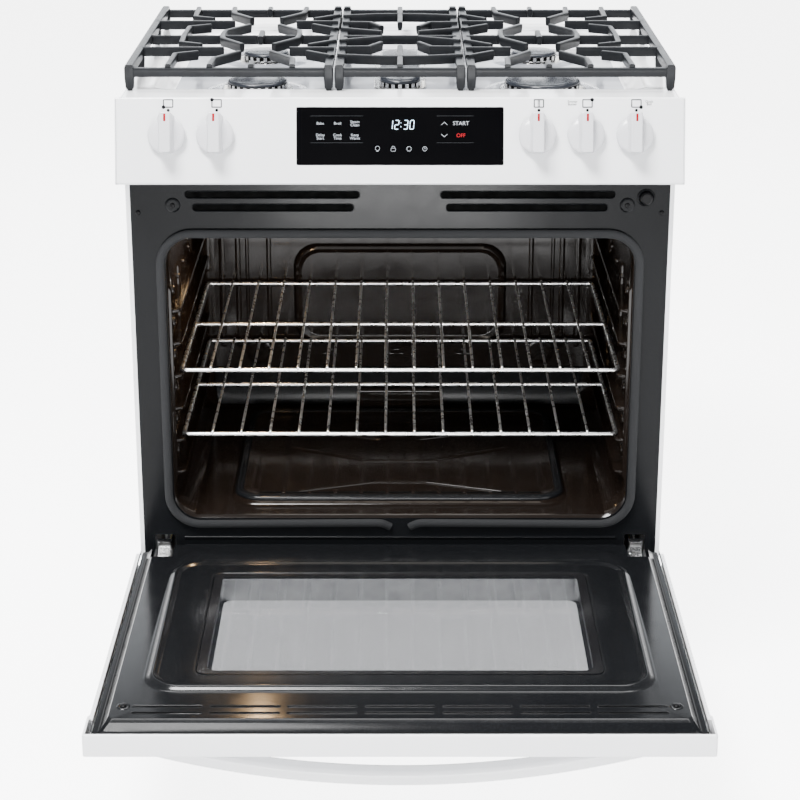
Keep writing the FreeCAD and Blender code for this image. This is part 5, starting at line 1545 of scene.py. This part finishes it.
def liner_fittings():
    """Vent slots, screws in their dimples and edge rails on the inner door."""
    flat = LINER_FLAT
    vents = bmesh.new()
    lips = bmesh.new()
    for row in (518, 535):
        for index in range(-3, 4):
            middle = index * 94 * MM
            y = FRONT - row * MM
            outline = rounded(middle - 43 * MM, y - 2.4 * MM, middle + 43 * MM, y + 2.4 * MM, 2.3 * MM, 5)
            loft(vents, [level(outline, flat + z * MM) for z in (-0.4, 0.12)])
            sweep(lips, level(outline, flat + 0.1 * MM), circle_section(0.55 * MM, 6), closed=True)
    # The vent slots are dark insets of painted shade.
    piece("liner_vent_slots", vents, OPENING_SHADE, "door")
    piece("liner_vent_lips", lips, LINER, "door", angle=60)
    screws = bmesh.new()
    for side in (-1, 1):
        screw(screws, Matrix.Translation((side * LINER_SCREW_X, LINER_SCREW_Y, flat + 0.4 * MM)), 4 * MM)
    piece("liner_screws", screws, SWITCH, "door")
    dimples = bmesh.new()
    for side in (-1, 1):
        place = Matrix.Translation((side * LINER_SCREW_X, LINER_SCREW_Y, flat))
        lathe(dimples, in_mm((8.6, 0), (7.6, 0.9), (6, 1.0), (4.6, 0.1), (0, 0.1)), place, 36)
    piece("liner_dimples", dimples, LINER, "door", angle=60)
    rails = bmesh.new()
    for side in (-1, 1):
        path = [Vector((side * 371.6 * MM, FRONT - distance * MM, flat - 12.6 * MM))
                for distance in (24, 300, 566)]
        sweep(rails, path, ring_section(1.1 * MM, 5 * MM, 0.4 * MM))
    piece("liner_edge_rails", rails, TUBE, "door")


def window():
    """Inner and outer panes, with a fired black border printed round the clear view."""
    pane = bmesh.new()
    flat = LINER_FLAT
    low, high = WINDOW_LOW, WINDOW_HIGH
    sides = (low.x + 1.6 * MM, low.y + 1.6 * MM, high.x - 1.6 * MM, high.y - 1.6 * MM)
    loft(pane, [level(rounded(sides[0] + inset * MM, sides[1] + inset * MM, sides[2] - inset * MM,
                              sides[3] - inset * MM, 11 * MM, 8), flat + z * MM) for z,
                inset in ((-1.2, 0), (2.2, 0), (2.6, 0.5))])
    piece("window_inner_pane", pane, WINDOW, "door", ["door_inner_glass"])
    outer_low, outer_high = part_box("door_outer_glass")
    outer = bmesh.new()
    loft(outer, [level(rounded(outer_low.x + inset * MM, outer_low.y + inset * MM,
                               outer_high.x - inset * MM, outer_high.y - inset * MM, 8 * MM, 8),
                       outer_low.z + z * MM) for z, inset in ((0.2, 0.5), (0.7, 0), (3, 0))])
    piece("window_outer_pane", outer, WINDOW, "door", ["door_outer_glass"])
    clear = (-243.5 * MM, FRONT - 427 * MM, 243.5 * MM, FRONT - 139.5 * MM)
    outer_sides = (outer_low.x + 1 * MM, outer_low.y + 1 * MM, outer_high.x - 1 * MM, outer_high.y - 1 * MM)
    for name, base, under, over, edge, edge_radius in (
            ("window_border", flat, 2.62, 2.8, sides, 11),
            ("window_outer_border", outer_low.z, 3.05, 3.2, outer_sides, 8)):
        border = bmesh.new()
        rows = []
        for height, where, radius in ((under, clear, 13), (over, clear, 13), (over, edge, edge_radius),
                                      (under, edge, edge_radius), (under, clear, 13)):
            rows.append(level(rounded(*where, radius * MM, 8), base + height * MM))
        loft(border, rows, start_cap=False, end_cap=False)
        piece(name, border, FRIT, "door")


def hinge_details():
    """Springy chrome catches and rivets beside each hinge arm."""
    arms = bmesh.new()
    for side in (-1, 1):
        x = side * HINGE_X
        across = Matrix.Rotation(math.pi / 2, 4, "Y")
        for y, z in ((FRONT - 6 * MM, 252 * MM), (FRONT - 22 * MM, 240 * MM)):
            place = Matrix.Translation((x - 9.2 * MM, y, z)) @ across
            lathe(arms, in_mm((0, 0), (3.2, 0.4), (3.4, 1.4), (3.4, 17), (3.2, 18), (0, 18.4)), place, 20)
        block(arms, (x - 6 * MM, FRONT - 30 * MM, 243 * MM), (x + 6 * MM, FRONT - 3 * MM, 245 * MM),
              0.8 * MM, 2)
    piece("hinge_rivets", arms, HINGE_CHROME, "root")


door_skin()
door_trim()
door_handle()
liner_skin()
liner_fittings()
window()
hinge_details()


# ---------------------------------------------------------------- storage drawer, sides and back

def drawer():
    """The white drawer front with a finger groove along its top."""
    low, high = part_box("drawer_front")
    mesh = bmesh.new()
    top = high.z
    face, rear = low.y, high.y
    outline = [(face + 1.2 * MM, low.z), (face + 0.3 * MM, low.z + 0.5 * MM), (face, low.z + 2 * MM),
               (face, top - 14 * MM), (face + 0.8 * MM, top - 11.6 * MM), (face + 2.4 * MM, top - 11 * MM),
               (face + 8 * MM, top - 11.4 * MM), (face + 10 * MM, top - 10 * MM),
               (face + 10.6 * MM, top - 2 * MM), (face + 11.6 * MM, top - 0.4 * MM), (face + 13 * MM, top),
               (rear - 0.5 * MM, top), (rear - 0.5 * MM, top - 2 * MM), (face + 13.5 * MM, top - 2.4 * MM),
               (face + 12.4 * MM, top - 13.5 * MM), (face + 2 * MM, top - 15 * MM),
               (face + 2 * MM, low.z + 2 * MM), (rear - 0.5 * MM, low.z + 2 * MM), (rear - 0.5 * MM, low.z)]
    prism(mesh, outline, low.x + 0.5 * MM, high.x - 0.5 * MM)
    for side in (-1, 1):
        shape = [(face + 1.2 * MM, low.z), (face, low.z + 2 * MM), (face, top - 14 * MM),
                 (face + 2 * MM, top - 11 * MM), (face + 10 * MM, top - 11 * MM),
                 (face + 11 * MM, top - 1 * MM), (face + 13 * MM, top), (rear - 0.5 * MM, top),
                 (rear - 0.5 * MM, low.z)]
        end_plate(mesh, side, shape, ((0, 0.6), (0.4, 0.1), (1, 0), (2, 0)))
    piece("drawer_facing", mesh, WHITE, "drawer", ["drawer_front"], 40)


def back_details():
    """Pressed ribs, louvres and screws on the galvanised back, and screws down both sides."""
    ribs = bmesh.new()
    y = BACK
    for x in (-240, 0, 240):
        loops = [[Vector((x * MM + px, y + lift * MM, (520 + pz) * MM)) for px,
                  pz in ((-(80 - inset) * MM, -(250 - inset)), ((80 - inset) * MM, -(250 - inset)),
                         ((80 - inset) * MM, 250 - inset), (-(80 - inset) * MM, 250 - inset))] for inset,
                 lift in ((0, 0), (3, 1.2), (8, 1.6), (11, 0.3))]
        loft(ribs, loops, start_cap=False, end_cap=False)
    piece("back_ribs", ribs, STEEL, "root", angle=50)
    screws = bmesh.new()
    toward = Matrix.Rotation(-math.pi / 2, 4, "X")
    for x in (-362, -180, 0, 180, 362):
        for z in (186, 858):
            screw(screws, Matrix.Translation((x * MM, y + 0.3 * MM, z * MM)) @ toward)
    for side in (-1, 1):
        for z in (340, 520, 700):
            screw(screws, Matrix.Translation((side * 362 * MM, y + 0.3 * MM, z * MM)) @ toward)
    for side in (-1, 1):
        outward = Matrix.Rotation(side * math.pi / 2, 4, "Y")
        for y_at, z_at in ((BACK - 16 * MM, 140), (BACK - 16 * MM, 480), (BACK - 16 * MM, 820),
                           (FRONT + 40 * MM, 118), (FRONT + 320 * MM, 118)):
            screw(screws, Matrix.Translation((side * (HALF_BODY + 0.2 * MM), y_at, z_at * MM)) @ outward)
    piece("back_screws", screws, TUBE, "root")
    louvres = bmesh.new()
    for row in range(6):
        for side in (-1, 1):
            x = side * 120 * MM
            z = (800 - row * 9) * MM
            block(louvres, (x - 60 * MM, y - 0.5 * MM, z - 1.6 * MM),
                  (x + 60 * MM, y + 1.2 * MM, z + 1.6 * MM), 0.7 * MM, 2)
    piece("back_louvres", louvres, STEEL, "root")


drawer()
back_details()
